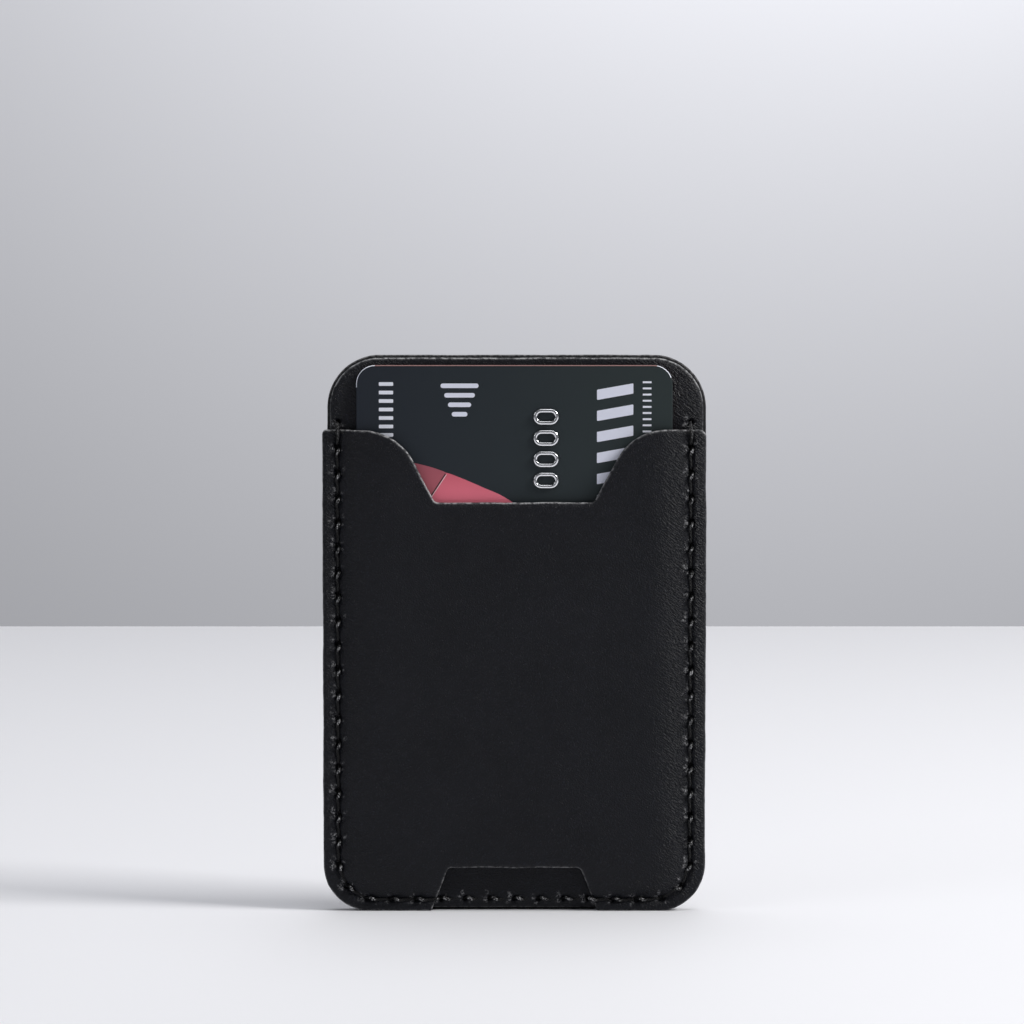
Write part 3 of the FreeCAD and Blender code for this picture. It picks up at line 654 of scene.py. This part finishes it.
def foam_material():
    """Grey foam tape with an adhesive skin: pored, a little rumpled and unevenly glossy."""
    m = Nodes("foam_tape_grey", (0.05, 0.05, 0.052), 0.45, Specular_IOR_Level=0.45)
    m.set(Base_Color=m.mix(m.noise(0.8, 3.0), (0.034, 0.034, 0.036), (0.075, 0.075, 0.078)))
    m.set(Roughness=m.ramp(m.noise(6.0, 4.0, 0.65), 0.28, 0.72, 0.35, 0.65))
    pores = m.bump(m.cells(0.5, "F1"), 0.2, 0.9)
    return m.set(Normal=m.bump(m.noise(14.0, 2.0), 0.5, 0.5, pores))


# ---- leather panels


BULGE_RISE = 1.42
BULGE_RUN = 8.5


def front_level(inset):
    """The pocket's rise from its flat flange: steepest at the seam, easing to its top."""
    left = 1 - np.clip(inset / BULGE_RUN, 0, 1)
    return FLANGE_PRESSED + BULGE_RISE * (1 - left**2.2) * smooth((inset + 0.3) / 2.0)


def front_surface(x, z):
    """The pocket's outside, with its seam pulled into a groove."""
    inset = seam_inset(x, z)
    level = front_level(inset)
    groove = 0.42 * np.exp(-((inset / 0.44) ** 4)) * smooth((FRONT_TOP - z) / 1.5)
    sunk, pucker = hole_marks(x, z, FRONT_HOLES, 1)
    sway = 0.05 * noise(x, z, 14.0, 5) * smooth(inset / 4)
    return level - groove - sunk + pucker + sway


def front_rear_surface(x, z):
    """The pocket's inside: on the inner panel at the flange, and clear of the card."""
    inset = seam_inset(x, z)
    clear_of_card = CARD_FRONT + 0.14
    roof = np.maximum(front_level(inset) - 1.0, clear_of_card)
    return INNER_FRONT + (roof - INNER_FRONT) * smooth((inset - 1.9) / 1.2)


def front_folds(x, z):
    """Creases gather where the pocket bends down to the seam, most of all on the right."""
    inset = seam_inset(x, z)
    flank = np.exp(-(((inset - 1.2) / 3.2) ** 2))
    side = np.where(x > 0, 1.9, 0.5) * smooth((np.abs(x) - 14) / 10)
    flange = np.where(x > 0, 0.2, 1.0) * smooth(-inset / 1.0) * smooth((z + 40) / 10)
    upper = 0.45 + 0.55 * smooth((z + 44) / 12)
    return flank * side * upper + flange + 0.16


def front_rim_light(x, z):
    """How pale the cut edge is painted: partly the leather's own pale edge, partly a painted highlight. The
    notch, window and top edges are painted paler, most where they face the light, up and to the right; the
    sides are dyed and burnished.
    """
    opening = smooth((30.5 - np.abs(x)) / 1.0)
    shoulder = smooth((z - FRONT_TOP + 1.0) / 0.6)
    # Painted highlight: the notch's left curve and floor face the light and get the most, its right curve
    # less. The window's left edge gets some, and its right edge, facing away, least.
    highlight_share = np.where(z > 0, np.where(x > 12, 0.55, 1.0), np.where(x > 10, 0.2, 0.5))
    return 0.18 + 0.82 * np.maximum(opening * highlight_share, shoulder)


def top_rim_light(x, z):
    """Only the top edges of the two rear leathers are painted pale, partly their own cut colour and partly a
    painted highlight from the light above.
    """
    return 0.2 + 0.8 * smooth((z - 39) / 5)


def corner_folds(x, z):
    """The leather behind the card is creased round its top corners."""
    corner = smooth((np.hypot(x, z - 20) - 30) / 6) * smooth((z - 16) / 8)
    return 0.1 + np.where(x > 0, 1.5, 0.8) * corner


def front_detail(x, z):
    """The front panel has more shape beside its seam and near its shoulders."""
    return (seam_inset(x, z) < 5.5) | (FRONT_TOP - z < 3.0)


def make_front_panel(leather):
    piece = leather_sheet(
        "front_leather",
        front_outline(),
        front_surface,
        front_rear_surface,
        0.3,
        leather,
        0.75,
        coarse=1.1,
        band=front_detail,
        holes=FRONT_HOLES,
        fold=front_folds,
        lit=front_rim_light,
    )
    finish_piece(piece, "wallet", "leather", "front_panel")


def shoulder_cut(outline):
    """Both rear layers are trimmed a little narrower beside the left shoulder."""
    x, z = outline.T
    trimmed = 0.8 * smooth((z - 26) / 9) * smooth((-x - 20) / 8)
    return np.stack([x + trimmed, z], axis=1)


def inner_surface(x, z):
    """The leather behind the card: flat in the pocket and rolled off towards its rim."""
    sunk, pucker = hole_marks(x, z, HOLES, 2)
    outline_gap = np.minimum(INNER_HIGH[0] - np.abs(x), INNER_HIGH[2] - np.abs(z))
    roll = 0.22 * np.exp(-((outline_gap / 1.3) ** 2))
    crease = 0.05 * noise(x * 0.35 + z * 0.2, z * 0.9 - x * 0.9, 0.8, 8)
    crease *= smooth((np.abs(x) - 27) / 2)
    return INNER_FRONT - roll - sunk * 0.9 + pucker + crease


def inner_detail(x, z):
    """Only the strips of the inner panel round the card's top show."""
    return (z > FRONT_TOP - 2) & ((np.abs(x) > 26) | (z > 45))


def make_inner_panel(leather):
    corners = (FOOT_CORNER - INNER_TRIM, TOP_CORNER - INNER_TRIM)
    outline = rectangle(INNER_HIGH[0], -INNER_HIGH[2], INNER_HIGH[2], *corners)
    piece = leather_sheet(
        "inner_leather",
        hand_cut(shoulder_cut(outline), 0.05, 21),
        inner_surface,
        level_at(BACKING_FRONT + 0.01),
        0.28,
        leather,
        0.8,
        coarse=1.6,
        band=inner_detail,
        holes=HOLES,
        fold=corner_folds,
        lit=top_rim_light,
    )
    finish_piece(piece, "wallet", "leather", "inner_panel")


def backing_rear_surface(x, z):
    """The wallet's back, drawn in along the seam."""
    sunk, pucker = hole_marks(x, z, HOLES, 4)
    groove = 0.08 * np.exp(-((seam_inset(x, z) / 0.5) ** 2))
    return BACKING_REAR + sunk * 0.5 + groove - pucker * 0.6


def make_backing_panel(leather):
    outline = rectangle(HALF_WIDTH, -HALF_HEIGHT, HALF_HEIGHT, FOOT_CORNER, TOP_CORNER)
    piece = leather_sheet(
        "backing_leather",
        hand_cut(shoulder_cut(outline), 0.05, 31),
        level_at(BACKING_FRONT - 0.01),
        backing_rear_surface,
        0.22,
        leather,
        0.8,
        holes=HOLES,
        lit=top_rim_light,
    )
    finish_piece(piece, "wallet", "leather", "backing_panel")


def tape_rear_surface(x, z):
    """The sticky side, a little uneven."""
    return 0.02 * (1 + noise(x, z, 7.0, 41))


def make_adhesive_pad(foam):
    outline = rectangle(TAPE_HIGH[0], TAPE_LOW[2], TAPE_HIGH[2], 4.0, 4.0)
    front = level_at(TAPE_HIGH[1])
    piece = leather_sheet("adhesive_foam", outline, front, tape_rear_surface, 0.15, foam, 1.2)
    finish_piece(piece, "wallet", "foam_tape", "adhesive_pad")


# ---- thread


SPAN = 4.2


def local_path(here, there, shape):
    """Points of x, depth and z from (along, aside, depth) on a stitch of the usual span.

    A span that is a little longer or shorter differs only in its middle.
    """
    start = np.array(here[:2])
    end = np.array(there[:2])
    length = np.linalg.norm(end - start)
    ahead = (end - start) / length
    aside = np.array((ahead[1], -ahead[0]))
    made = []
    for along, shift, depth in shape:
        reach = along if along <= SPAN / 2 else length - (SPAN - along)
        x, z = start + ahead * reach + aside * shift
        made.append((x, depth, z))
    return made


def front_stitch(here, there, level):
    """A stitch on the front, from its upper or left-hand hole to the next one.

    It comes steeply out of the first hole, leans to one side over its crest, and sinks
    into the leather before the next hole.
    """
    shape = (
        (0.24, -0.10, level - 1.1),
        (0.30, -0.16, level - 0.45),
        (0.52, -0.20, level + 0.14),
        (0.85, -0.08, level + 0.32),
        (1.3, 0.12, level + 0.12),
        (1.8, 0.12, level - 0.16),
        (2.5, 0.04, level - 0.30),
        (3.2, 0.0, level - 0.34),
        (3.66, 0.0, level - 0.6),
        (3.76, 0.0, level - 1.1),
    )
    return local_path(here, there, shape)


def back_stitch(here, there, side):
    """A stitch on the back, pulled flat against the backing."""
    level = BACKING_REAR
    shape = (
        (0.24, 0.1 * side, level + 0.7),
        (0.26, 0.1 * side, level + 0.25),
        (0.55, 0.1 * side, level - 0.16),
        (1.2, 0.02, level - 0.2),
        (2.1, 0.0, level - 0.16),
        (3.0, 0.0, level - 0.2),
        (3.65, -0.1 * side, level - 0.14),
        (3.94, -0.1 * side, level + 0.25),
        (3.96, -0.1 * side, level + 0.7),
    )
    return local_path(here, there, shape)


def edge_stitch(here, there):
    """The end stitch, which climbs from the inner panel over the front panel's top edge."""
    upper = INNER_FRONT
    lower = FLANGE_PRESSED
    shape = (
        (0.20, 0.08, upper - 0.9),
        (0.24, 0.10, upper + 0.05),
        (0.55, 0.12, upper + 0.32),
        (1.0, 0.06, upper + 0.7),
        (1.35, 0.0, lower + 0.22),
        (1.75, -0.1, lower + 0.34),
        (2.4, -0.1, lower + 0.16),
        (3.1, 0.0, lower + 0.02),
        (3.45, 0.0, lower - 0.14),
        (3.72, 0.0, lower - 0.5),
        (3.80, 0.0, lower - 1.1),
    )
    return local_path(here, there, shape)


def strand_path(front_first):
    """One strand of the saddle stitch, on the front of every other span."""
    route = []
    in_front = front_first
    for span in range(SEAM_SPANS):
        here, there = HOLES[span], HOLES[span + 1]
        if in_front:
            # Stitches are shaped from above, so one on the right-hand side is walked back.
            climbing = there[1] > here[1] + 0.3
            start, end = (there, here) if climbing else (here, there)
            if span in (0, SEAM_SPANS - 1):
                run = edge_stitch(start, end)
            else:
                covered = over_front(*(start[:2] + end[:2]) / 2)
                run = front_stitch(start, end, FLANGE_PRESSED if covered else INNER_FRONT)
            route += run[::-1] if climbing else run
        else:
            route += back_stitch(here, there, 1 if span % 4 < 2 else -1)
        in_front = not in_front
    return np.array(route)


def resample(route, step):
    """A smooth line through a route's points, as evenly spaced points."""
    padded = np.concatenate([route[:1], route, route[-1:]])
    made = []
    for k in range(1, len(padded) - 2):
        a, b, c, d = padded[k - 1 : k + 3]
        bits = max(1, math.ceil(np.linalg.norm(c - b) / step))
        t = (np.arange(bits) / bits)[:, None]
        square = (2 * a - 5 * b + 4 * c - d) * t**2
        cube = (3 * b - a - 3 * c + d) * t**3
        made.append((2 * b + (c - a) * t + square + cube) / 2)
    return np.concatenate([*made, route[-1:]])


def carried_frames(path):
    """Two directions across a path that turn with it as little as they can."""
    along = np.gradient(path, axis=0)
    along /= np.linalg.norm(along, axis=1)[:, None]
    side = np.empty_like(path)
    first = np.cross(along[0], (0.31, 0.52, 0.8))
    side[0] = first / np.linalg.norm(first)
    for k in range(1, len(path)):
        carried = side[k - 1] - along[k] * (side[k - 1] @ along[k])
        side[k] = carried / np.linalg.norm(carried)
    return side, np.cross(along, side)


def tube(path, radius, sides):
    """Points and faces of a closed tube with flat ends; radius may differ along it."""
    side, over = carried_frames(path)
    turns = (np.arange(sides) * 2 * math.pi / sides)[None, :, None]
    radius = np.broadcast_to(radius, len(path))[:, None, None]
    around = np.cos(turns) * side[:, None] + np.sin(turns) * over[:, None]
    points = (path[:, None] + radius * around).reshape(-1, 3)
    last = (len(path) - 1) * sides
    faces = []
    for lower in range(0, last, sides):
        faces += loop_faces(lower, lower + sides, sides)
    faces.append(tuple(range(sides))[::-1])
    faces.append(tuple(last + n for n in range(sides)))
    return points, faces


def join(parts):
    """Several (points, faces) as one."""
    points, faces, base = [], [], 0
    for part_points, part_faces in parts:
        points.append(part_points)
        faces += [tuple(base + v for v in face) for face in part_faces]
        base += len(part_points)
    return np.concatenate(points), faces


PLIES = 3
PLY_RADIUS = 0.145
PLY_OFFSET = 0.15
TWIST_PITCH = 2.0


def polar(turn, reach_x, depth, reach_z):
    """A step on an ellipse in the wallet's plane, and outwards by a depth."""
    return np.array((reach_x * math.cos(turn), depth, reach_z * math.sin(turn)))


FIBRES = 11


def frayed_fibres():
    """Loose fibres that stick out where the seam's two ends are tied off."""
    parts = []
    for side in (-1, 1):
        knot = np.array((side * SEAM_X, FLANGE_FRONT + 0.15, SEAM_TOP - 0.9))
        for n in range(FIBRES):
            a, b, c, d = (hashed(n, side, seed) for seed in (61, 62, 63, 64))
            turn = 2 * math.pi * (n / FIBRES + 0.2 * a)
            reach = 0.4 + 0.9 * b**2
            start = knot + polar(turn, 0.25, 0.0, 0.5)
            middle = start + polar(turn, 0.5 * reach, 0.3 * c, 0.5 * reach)
            end = start + polar(turn + d - 0.5, reach, 0.1 + 0.2 * d, reach)
            path = resample(np.array((start, middle, end)), 0.2)
            parts.append(tube(path, np.linspace(0.07, 0.03, len(path)), 5))
    return parts


def make_thread(name, node, front_first, material):
    """Three plies laid round one path, with loose fibres at the ends of the first strand."""
    path = resample(strand_path(front_first), 0.16)
    side, over = carried_frames(path)
    travelled = np.concatenate([[0], np.cumsum(np.linalg.norm(np.diff(path, axis=0), axis=1))])
    parts = []
    for ply in range(PLIES):
        turn = (2 * math.pi * (travelled / TWIST_PITCH + ply / PLIES))[:, None]
        centre = path + PLY_OFFSET * (np.cos(turn) * side + np.sin(turn) * over)
        parts.append(tube(centre, PLY_RADIUS, 7))
    if front_first:
        parts += frayed_fibres()
    points, faces = join(parts)
    x, depth, z = points.T
    leather = np.where(over_front(x, z), FLANGE_FRONT, INNER_FRONT)
    # Painted glint on the stitch crests that stand clear of the leather, weaker near the top edge.
    highlight_share = smooth((depth - leather - 0.18) / 0.22) * np.where(z > FRONT_TOP - 1.2, 0.22, 1.0)
    piece = add_piece(name, points, faces, [material], attributes={"highlight_share": highlight_share})
    finish_piece(piece, "wallet", "thread", node)


# ---- card


def plate(outline, rear, front, bevel):
    """A flat closed plate with a bevelled rim, as points, faces and each face's part.

    The parts are 0 for the front, 1 for the wall and 2 for the rear.
    """
    count = len(outline)
    normal = outward(outline)
    profile = [(bevel, front), (bevel * 0.3, front - bevel * 0.3), (0.0, front - bevel)]
    profile += [(0.0, rear + bevel), (bevel * 0.3, rear + bevel * 0.3), (bevel, rear)]
    loops = []
    for inset, depth in profile:
        ring = outline - normal * inset
        loops.append(np.stack([ring[:, 0], np.full(count, depth), ring[:, 1]], axis=1))
    last = (len(profile) - 1) * count
    faces = []
    for upper in range(0, last, count):
        faces += loop_faces(upper + count, upper, count)
    part = [1] * len(faces) + [0, 2]
    faces.append(tuple(range(count)))
    faces.append(tuple(last + n for n in range(count))[::-1])
    return np.concatenate(loops), faces, part


def make_card_body(face, edge, back, corner_highlight):
    """The card's plate, with its printed face, its back, the core along its edges and a painted highlight on
    its top corners.
    """
    corners = (CARD_CORNER, CARD_CORNER)
    outline = rectangle(CARD_HALF_WIDTH, CARD_LOW[2], CARD_HIGH[2], *corners, 0.6)
    points, faces, part = plate(outline, CARD_REAR, CARD_FRONT, 0.13)
    # The film wraps the bevel. Along the top the bevel takes the core's paler colour, a painted highlight
    # where light falls on the top edge, and the top corners are painted white as a painted highlight.
    for k in range(2 * len(outline)):
        x, z = outline[k % len(outline)]
        straight = z > CARD_HIGH[2] - 0.4
        corner_low = 2.4 if x > 0 else 3.2
        corner = z > CARD_HIGH[2] - corner_low and abs(x) > CARD_HALF_WIDTH - corner_low
        part[k] = 3 if corner else 1 if straight else 0
    piece = add_piece("card_plate", points, faces, [face, edge, back, corner_highlight], face_slots=part, flat=True)
    nodes = ("card_core", "card_front_overlay", "card_rear_overlay")
    finish_piece(piece, "card", "card_print", *nodes)


INK = 0.014


def make_print(name, outlines, material, level=CARD_FRONT):
    """Ink on the card's face: thin closed shapes just proud of it."""
    points, faces = join([plate(o, level - 0.01, level + INK, 0.004)[:2] for o in outlines])
    piece = add_piece(name, points, faces, [material], flat=True)
    finish_piece(piece, "card", "card_print")


def bar(x, z, width, height, radius=None, lean=0.0):
    """A rounded bar about a point, with its two ends shifted up and down by a lean."""
    radius = min(width, height) * 0.49 if radius is None else radius
    x0, x1 = x - width / 2, x + width / 2
    z0, z1 = z - height / 2, z + height / 2
    corners = ((x0, z0 - lean), (x1, z0 + lean), (x1, z1 + lean), (x0, z1 - lean))
    return round_polygon([(*corner, radius) for corner in corners], 0.2)


def nought_ring(x, z, tall, wide, inset):
    """A lying oval about a point, drawn in by an inset."""
    end = wide / 2 - inset
    straight = (tall - wide) / 2
    points = []
    for side, first in ((1, -90), (-1, 90)):
        for n in range(15):
            angle = math.radians(first + 180 * n / 14)
            points.append((x + side * straight + end * math.cos(angle), z + end * math.sin(angle)))
    return np.array(points)


NUMERAL_TALL = 4.3
NUMERAL_WIDE = 2.7
NUMERAL_STROKE = 0.62
NUMERAL_PITCH = 3.63
NUMERAL_PLACES = (0, 1, 2, 3, 5, 6, 7, 8, 10, 11, 12, 13, 15, 16, 17, 18)


def make_numerals(film, foil):
    """Embossed noughts: rounded ridges in the card's film with foil along their tops."""
    foot = CARD_FRONT - 0.02
    shares = np.linspace(0, 1, 11)
    insets = -0.08 + shares * (NUMERAL_STROKE + 0.16)
    depths = foot + (FOIL_HIGH[1] - foot) * (1 - abs(2 * shares - 1) ** 5)
    parts, slots = [], []
    for place in NUMERAL_PLACES:
        x = (FOIL_LOW[0] + FOIL_HIGH[0]) / 2
        z = FOIL_LOW[2] + NUMERAL_WIDE / 2 + place * NUMERAL_PITCH
        loops, faces = [], []
        for k, (inset, depth) in enumerate(zip(insets, depths)):
            ring = nought_ring(x, z, NUMERAL_TALL, NUMERAL_WIDE, inset)
            count = len(ring)
            loops.append(np.stack([ring[:, 0], np.full(count, depth), ring[:, 1]], axis=1))
            following = (k + 1) % len(shares)
            faces += loop_faces(k * count, following * count, count)
            slots += [1 if 1 <= k < len(shares) - 2 else 0] * count
        parts.append((np.concatenate(loops), faces))
    points, faces = join(parts)
    piece = add_piece("card_numerals", points, faces, [film, foil], face_slots=slots)
    finish_piece(piece, "card", "foil", "numeral_foil")


# How far the band runs to each side, its upper edge, and the line that parts its tones.
BAND_EDGE = 26.9
WEDGE_TOP = ((-BAND_EDGE, 31.2), (-16.6, 29.3), (-11.6, 27.8), (-5.5, 25.3), (-0.2, 22.6))
WEDGE_TOP += ((10.0, 14.5), (BAND_EDGE, -2.0))
SPLIT_TOP = np.array((-11.6, 27.75))
SPLIT_FOOT = np.array((-22.0, 12.0))


def wedge_outlines():
    """A two-tone band across the card: its darker left part and its lighter right part."""
    top = resample(np.array([(x, 0.0, z) for x, z in WEDGE_TOP]), 0.8)[:, (0, 2)]
    left_top = top[top[:, 0] < SPLIT_TOP[0]]
    right_top = top[top[:, 0] > SPLIT_TOP[0]]
    left = np.array([(-BAND_EDGE, 12.0), SPLIT_FOOT, SPLIT_TOP, *left_top[::-1]])
    right = np.array([SPLIT_FOOT, (BAND_EDGE, -24.0), *right_top[::-1], SPLIT_TOP])
    return left, right


def split_line(offset, width):
    """A thin strip beside the line between the band's two tones."""
    ahead = (SPLIT_FOOT - SPLIT_TOP) / np.linalg.norm(SPLIT_FOOT - SPLIT_TOP)
    aside = np.array((-ahead[1], ahead[0]))
    first, last = SPLIT_TOP + ahead * 0.25, SPLIT_FOOT
    near, far = aside * (offset - width / 2), aside * (offset + width / 2)
    return np.array((first + near, last + near, last + far, first + far))


def make_chip(gold, groove):
    """The chip's contact plate, cut into eight lands round a core."""
    x, z = (CHIP_LOW[0] + CHIP_HIGH[0]) / 2, (CHIP_LOW[2] + CHIP_HIGH[2]) / 2
    width, height = CHIP_HIGH[0] - CHIP_LOW[0], CHIP_HIGH[2] - CHIP_LOW[2]
    row_height = height / 4
    lands = []
    for row in (-1.5, -0.5, 0.5, 1.5):
        for side in (-0.31, 0.31):
            middle = (x + side * width, z + row * row_height)
            lands.append(bar(*middle, width * 0.34, row_height - 0.3, 0.25))
    lands.append(bar(x, z, width * 0.2, height - 0.4, 0.4))
    base = plate(bar(x, z, width, height, 1.2), CARD_FRONT - 0.2, CARD_FRONT + 0.02, 0.02)
    parts = [base[:2]]
    for land in lands:
        parts.append(plate(land, CARD_FRONT, CARD_FRONT + 0.045, 0.02)[:2])
    points, faces = join(parts)
    slots = [1] * len(base[1]) + [0] * (len(faces) - len(base[1]))
    piece = add_piece("chip_contacts", points, faces, [gold, groove], face_slots=slots, flat=True)
    finish_piece(piece, "card", "contacts", "chip_module")


def make_rear_strip(name, low, high, material, slot, node):
    """A strip on the card's back, a hair proud of it."""
    middle = ((low[0] + high[0]) / 2, (low[2] + high[2]) / 2)
    outline = bar(*middle, high[0] - low[0], high[2] - low[2] - 0.12, 0.15)
    points, faces, part = plate(outline, CARD_REAR - 0.012, CARD_REAR + 0.02, 0.005)
    piece = add_piece(name, points, faces, [material], flat=True)
    finish_piece(piece, "card", slot, node)


# ---- build the object

black_leather = leather_material(
    "black_leather", (0.0026, 0.0031, 0.0054), (0.0046, 0.0052, 0.0082), (0.42, 0.42, 0.43), 0.42
)
rear_leather = leather_material(
    "black_leather_back", (0.0040, 0.0045, 0.0062), (0.0070, 0.0076, 0.0094), (0.16, 0.158, 0.16), 0.6
)
foam = foam_material()
thread = thread_material()

make_front_panel(black_leather)
make_inner_panel(black_leather)
make_backing_panel(rear_leather)
make_adhesive_pad(foam)
make_thread("saddle_thread_a", "seam_thread_a", True, thread)
make_thread("saddle_thread_b", "seam_thread_b", False, thread)

card_face = card_face_material((0.020, 0.0245, 0.033), (0.031, 0.041, 0.042))
card_edge = plastic_material("card_core_edge", (0.30, 0.16, 0.15), 0.45)
card_back = plastic_material("card_back", (0.02, 0.024, 0.027), 0.42)
white_ink = plastic_material("ink_white", (0.82, 0.84, 0.93), 0.45)
silver_ink = plastic_material("ink_silver", (0.78, 0.80, 0.92), 0.38)
red_ink = ink_wash_material("ink_rose", (0.62, 0.12, 0.165), (0.98, 0.235, 0.32), 28.0, 21.5)
dark_red_ink = ink_wash_material("ink_rose_dark", (0.36, 0.09, 0.12), (0.48, 0.125, 0.155), 30.0, 23.0)
line_ink = plastic_material("ink_line", (0.05, 0.018, 0.022), 0.45)
pale_ink = plastic_material("ink_pale", (0.85, 0.55, 0.58), 0.45)
foil_metal = metal_material("foil_silver", (0.90, 0.91, 0.94), 0.14)
gold_metal = metal_material("contact_gold", (0.80, 0.60, 0.27), 0.3)
copper_metal = metal_material("coil_copper", (0.75, 0.36, 0.2), 0.3)
stripe_film = plastic_material("stripe_film", (0.012, 0.009, 0.008), 0.3)
paper = plastic_material("signature_paper", (0.72, 0.72, 0.68), 0.7, 0.3, 0.02)

make_card_body(card_face, card_edge, card_back, white_ink)
make_numerals(card_face, foil_metal)
left_wedge, right_wedge = wedge_outlines()
make_print("print_band_dark", [left_wedge], dark_red_ink)
make_print("print_band_light", [right_wedge], red_ink)
make_print("print_split_dark", [split_line(-0.02, 0.2)], line_ink, CARD_FRONT + INK)
make_print("print_split_pale", [split_line(0.17, 0.13)], pale_ink, CARD_FRONT + INK)

# Plain bars stand for the card's mark, label, badge and name, each row from the top down.
mark_bars = [bar(-9.35, 42.6 - 1.62 * n, 6.5 - 1.27 * n, 0.78) for n in range(4)]
label_bars = [bar(-21.9, 42.9 - 1.45 * n, 2.45, 0.62, 0.12) for n in range(7)]
badge_bars = [bar(17.2, 41.6 - 3.6 * n, 6.2, 1.75, 0.12, 0.55) for n in range(6)]
name_bars = [bar(22.65, 43.2 - 1.05 * n, 1.5, 0.32, 0.08) for n in range(9)]
make_print("print_mark", mark_bars, silver_ink)
make_print("print_label", label_bars, white_ink)
make_print("print_badge", badge_bars, silver_ink)
make_print("print_name", name_bars, white_ink)

make_chip(gold_metal, card_edge)
make_rear_strip("stripe_face", STRIPE_LOW, STRIPE_HIGH, stripe_film, "stripe", "magnetic_stripe")
make_rear_strip("signature_face", SIGNATURE_LOW, SIGNATURE_HIGH, paper, "signature_paper", "signature_panel")

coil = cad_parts["antenna_coil"]
coil.data.materials.clear()
coil.data.materials.append(copper_metal)


# ---- stage, lights and camera

FLOOR_Z = -HALF_HEIGHT * MM
FLOOR_START = -0.8
FLOOR_END = 0.5
WALL_Y = 3.0
REACH = 4.0


def stage_plane(name, corners, material):
    mesh = bpy.data.meshes.new(name)
    mesh.from_pydata(corners, [], [(0, 1, 2, 3)])
    mesh.materials.append(material)
    piece = bpy.data.objects.new(name, mesh)
    bpy.context.collection.objects.link(piece)


def stage_material(name, color):
    m = Nodes(name, color, 0.8, Specular_IOR_Level=0.1)
    return m.set(Normal=m.bump(m.noise(1.2), 0.02, 0.2))


def level_corners(near, far, z):
    return [(-REACH, near, z), (REACH, near, z), (REACH, far, z), (-REACH, far, z)]


def upright_corners(y, low, high):
    return [(-REACH, y, low), (REACH, y, low), (REACH, y, high), (-REACH, y, high)]


floor_paint = stage_material("floor_paint", (0.82, 0.82, 0.85))
wall_paint = stage_material("wall_paint", (0.62, 0.62, 0.65))
stage_plane("floor", level_corners(FLOOR_START, FLOOR_END, FLOOR_Z), floor_paint)
stage_plane("wall", upright_corners(WALL_Y, -2.0, 3.0), wall_paint)


def area_light(name, place, target, size, power, color):
    light = bpy.data.lights.new(name, "AREA")
    light.shape = "RECTANGLE"
    light.size = size[0]
    light.size_y = size[1]
    light.energy = power
    light.color = color
    lamp = bpy.data.objects.new(name, light)
    lamp.location = place
    lamp.rotation_euler = (Vector(target) - Vector(place)).to_track_quat("-Z", "Y").to_euler()
    bpy.context.collection.objects.link(lamp)


area_light("key", (0.85, -0.22, 0.62), (0, 0, 0), (0.30, 0.30), 9.2, (1.0, 0.99, 0.97))
area_light("top", (0.15, 0.1, 1.2), (0, 0.0, 0), (1.4, 1.0), 9.4, (0.97, 0.98, 1.0))
area_light("fill", (-0.9, -0.5, 0.5), (0, 0, 0), (0.5, 0.5), 1.2, (0.96, 0.98, 1.0))
area_light("wash", (0.42, 2.0, 1.3), (0.1, WALL_Y, 0.35), (0.8, 0.4), 39, (0.98, 0.99, 1.0))

world = bpy.data.worlds.new("studio")
world.use_nodes = True
sky = world.node_tree.nodes["Background"]
sky.inputs["Color"].default_value = (0.93, 0.95, 1.0, 1)
sky.inputs["Strength"].default_value = 0.12
bpy.context.scene.world = world
bpy.context.scene.view_settings.view_transform = "Standard"

CAMERA_DISTANCE = 0.697
CAMERA_PITCH = math.radians(3.97)
CAMERA_AIM = Vector((-0.0004, -0.003, 0.0210))

camera_data = bpy.data.cameras.new("camera")
camera_data.sensor_width = 36
camera_data.lens = 143.3
camera = bpy.data.objects.new("camera", camera_data)
backwards = Vector((0, -math.cos(CAMERA_PITCH), math.sin(CAMERA_PITCH)))
camera.location = CAMERA_AIM + backwards * CAMERA_DISTANCE
camera.rotation_euler = (-backwards).to_track_quat("-Z", "Y").to_euler()
bpy.context.collection.objects.link(camera)
bpy.context.scene.camera = camera
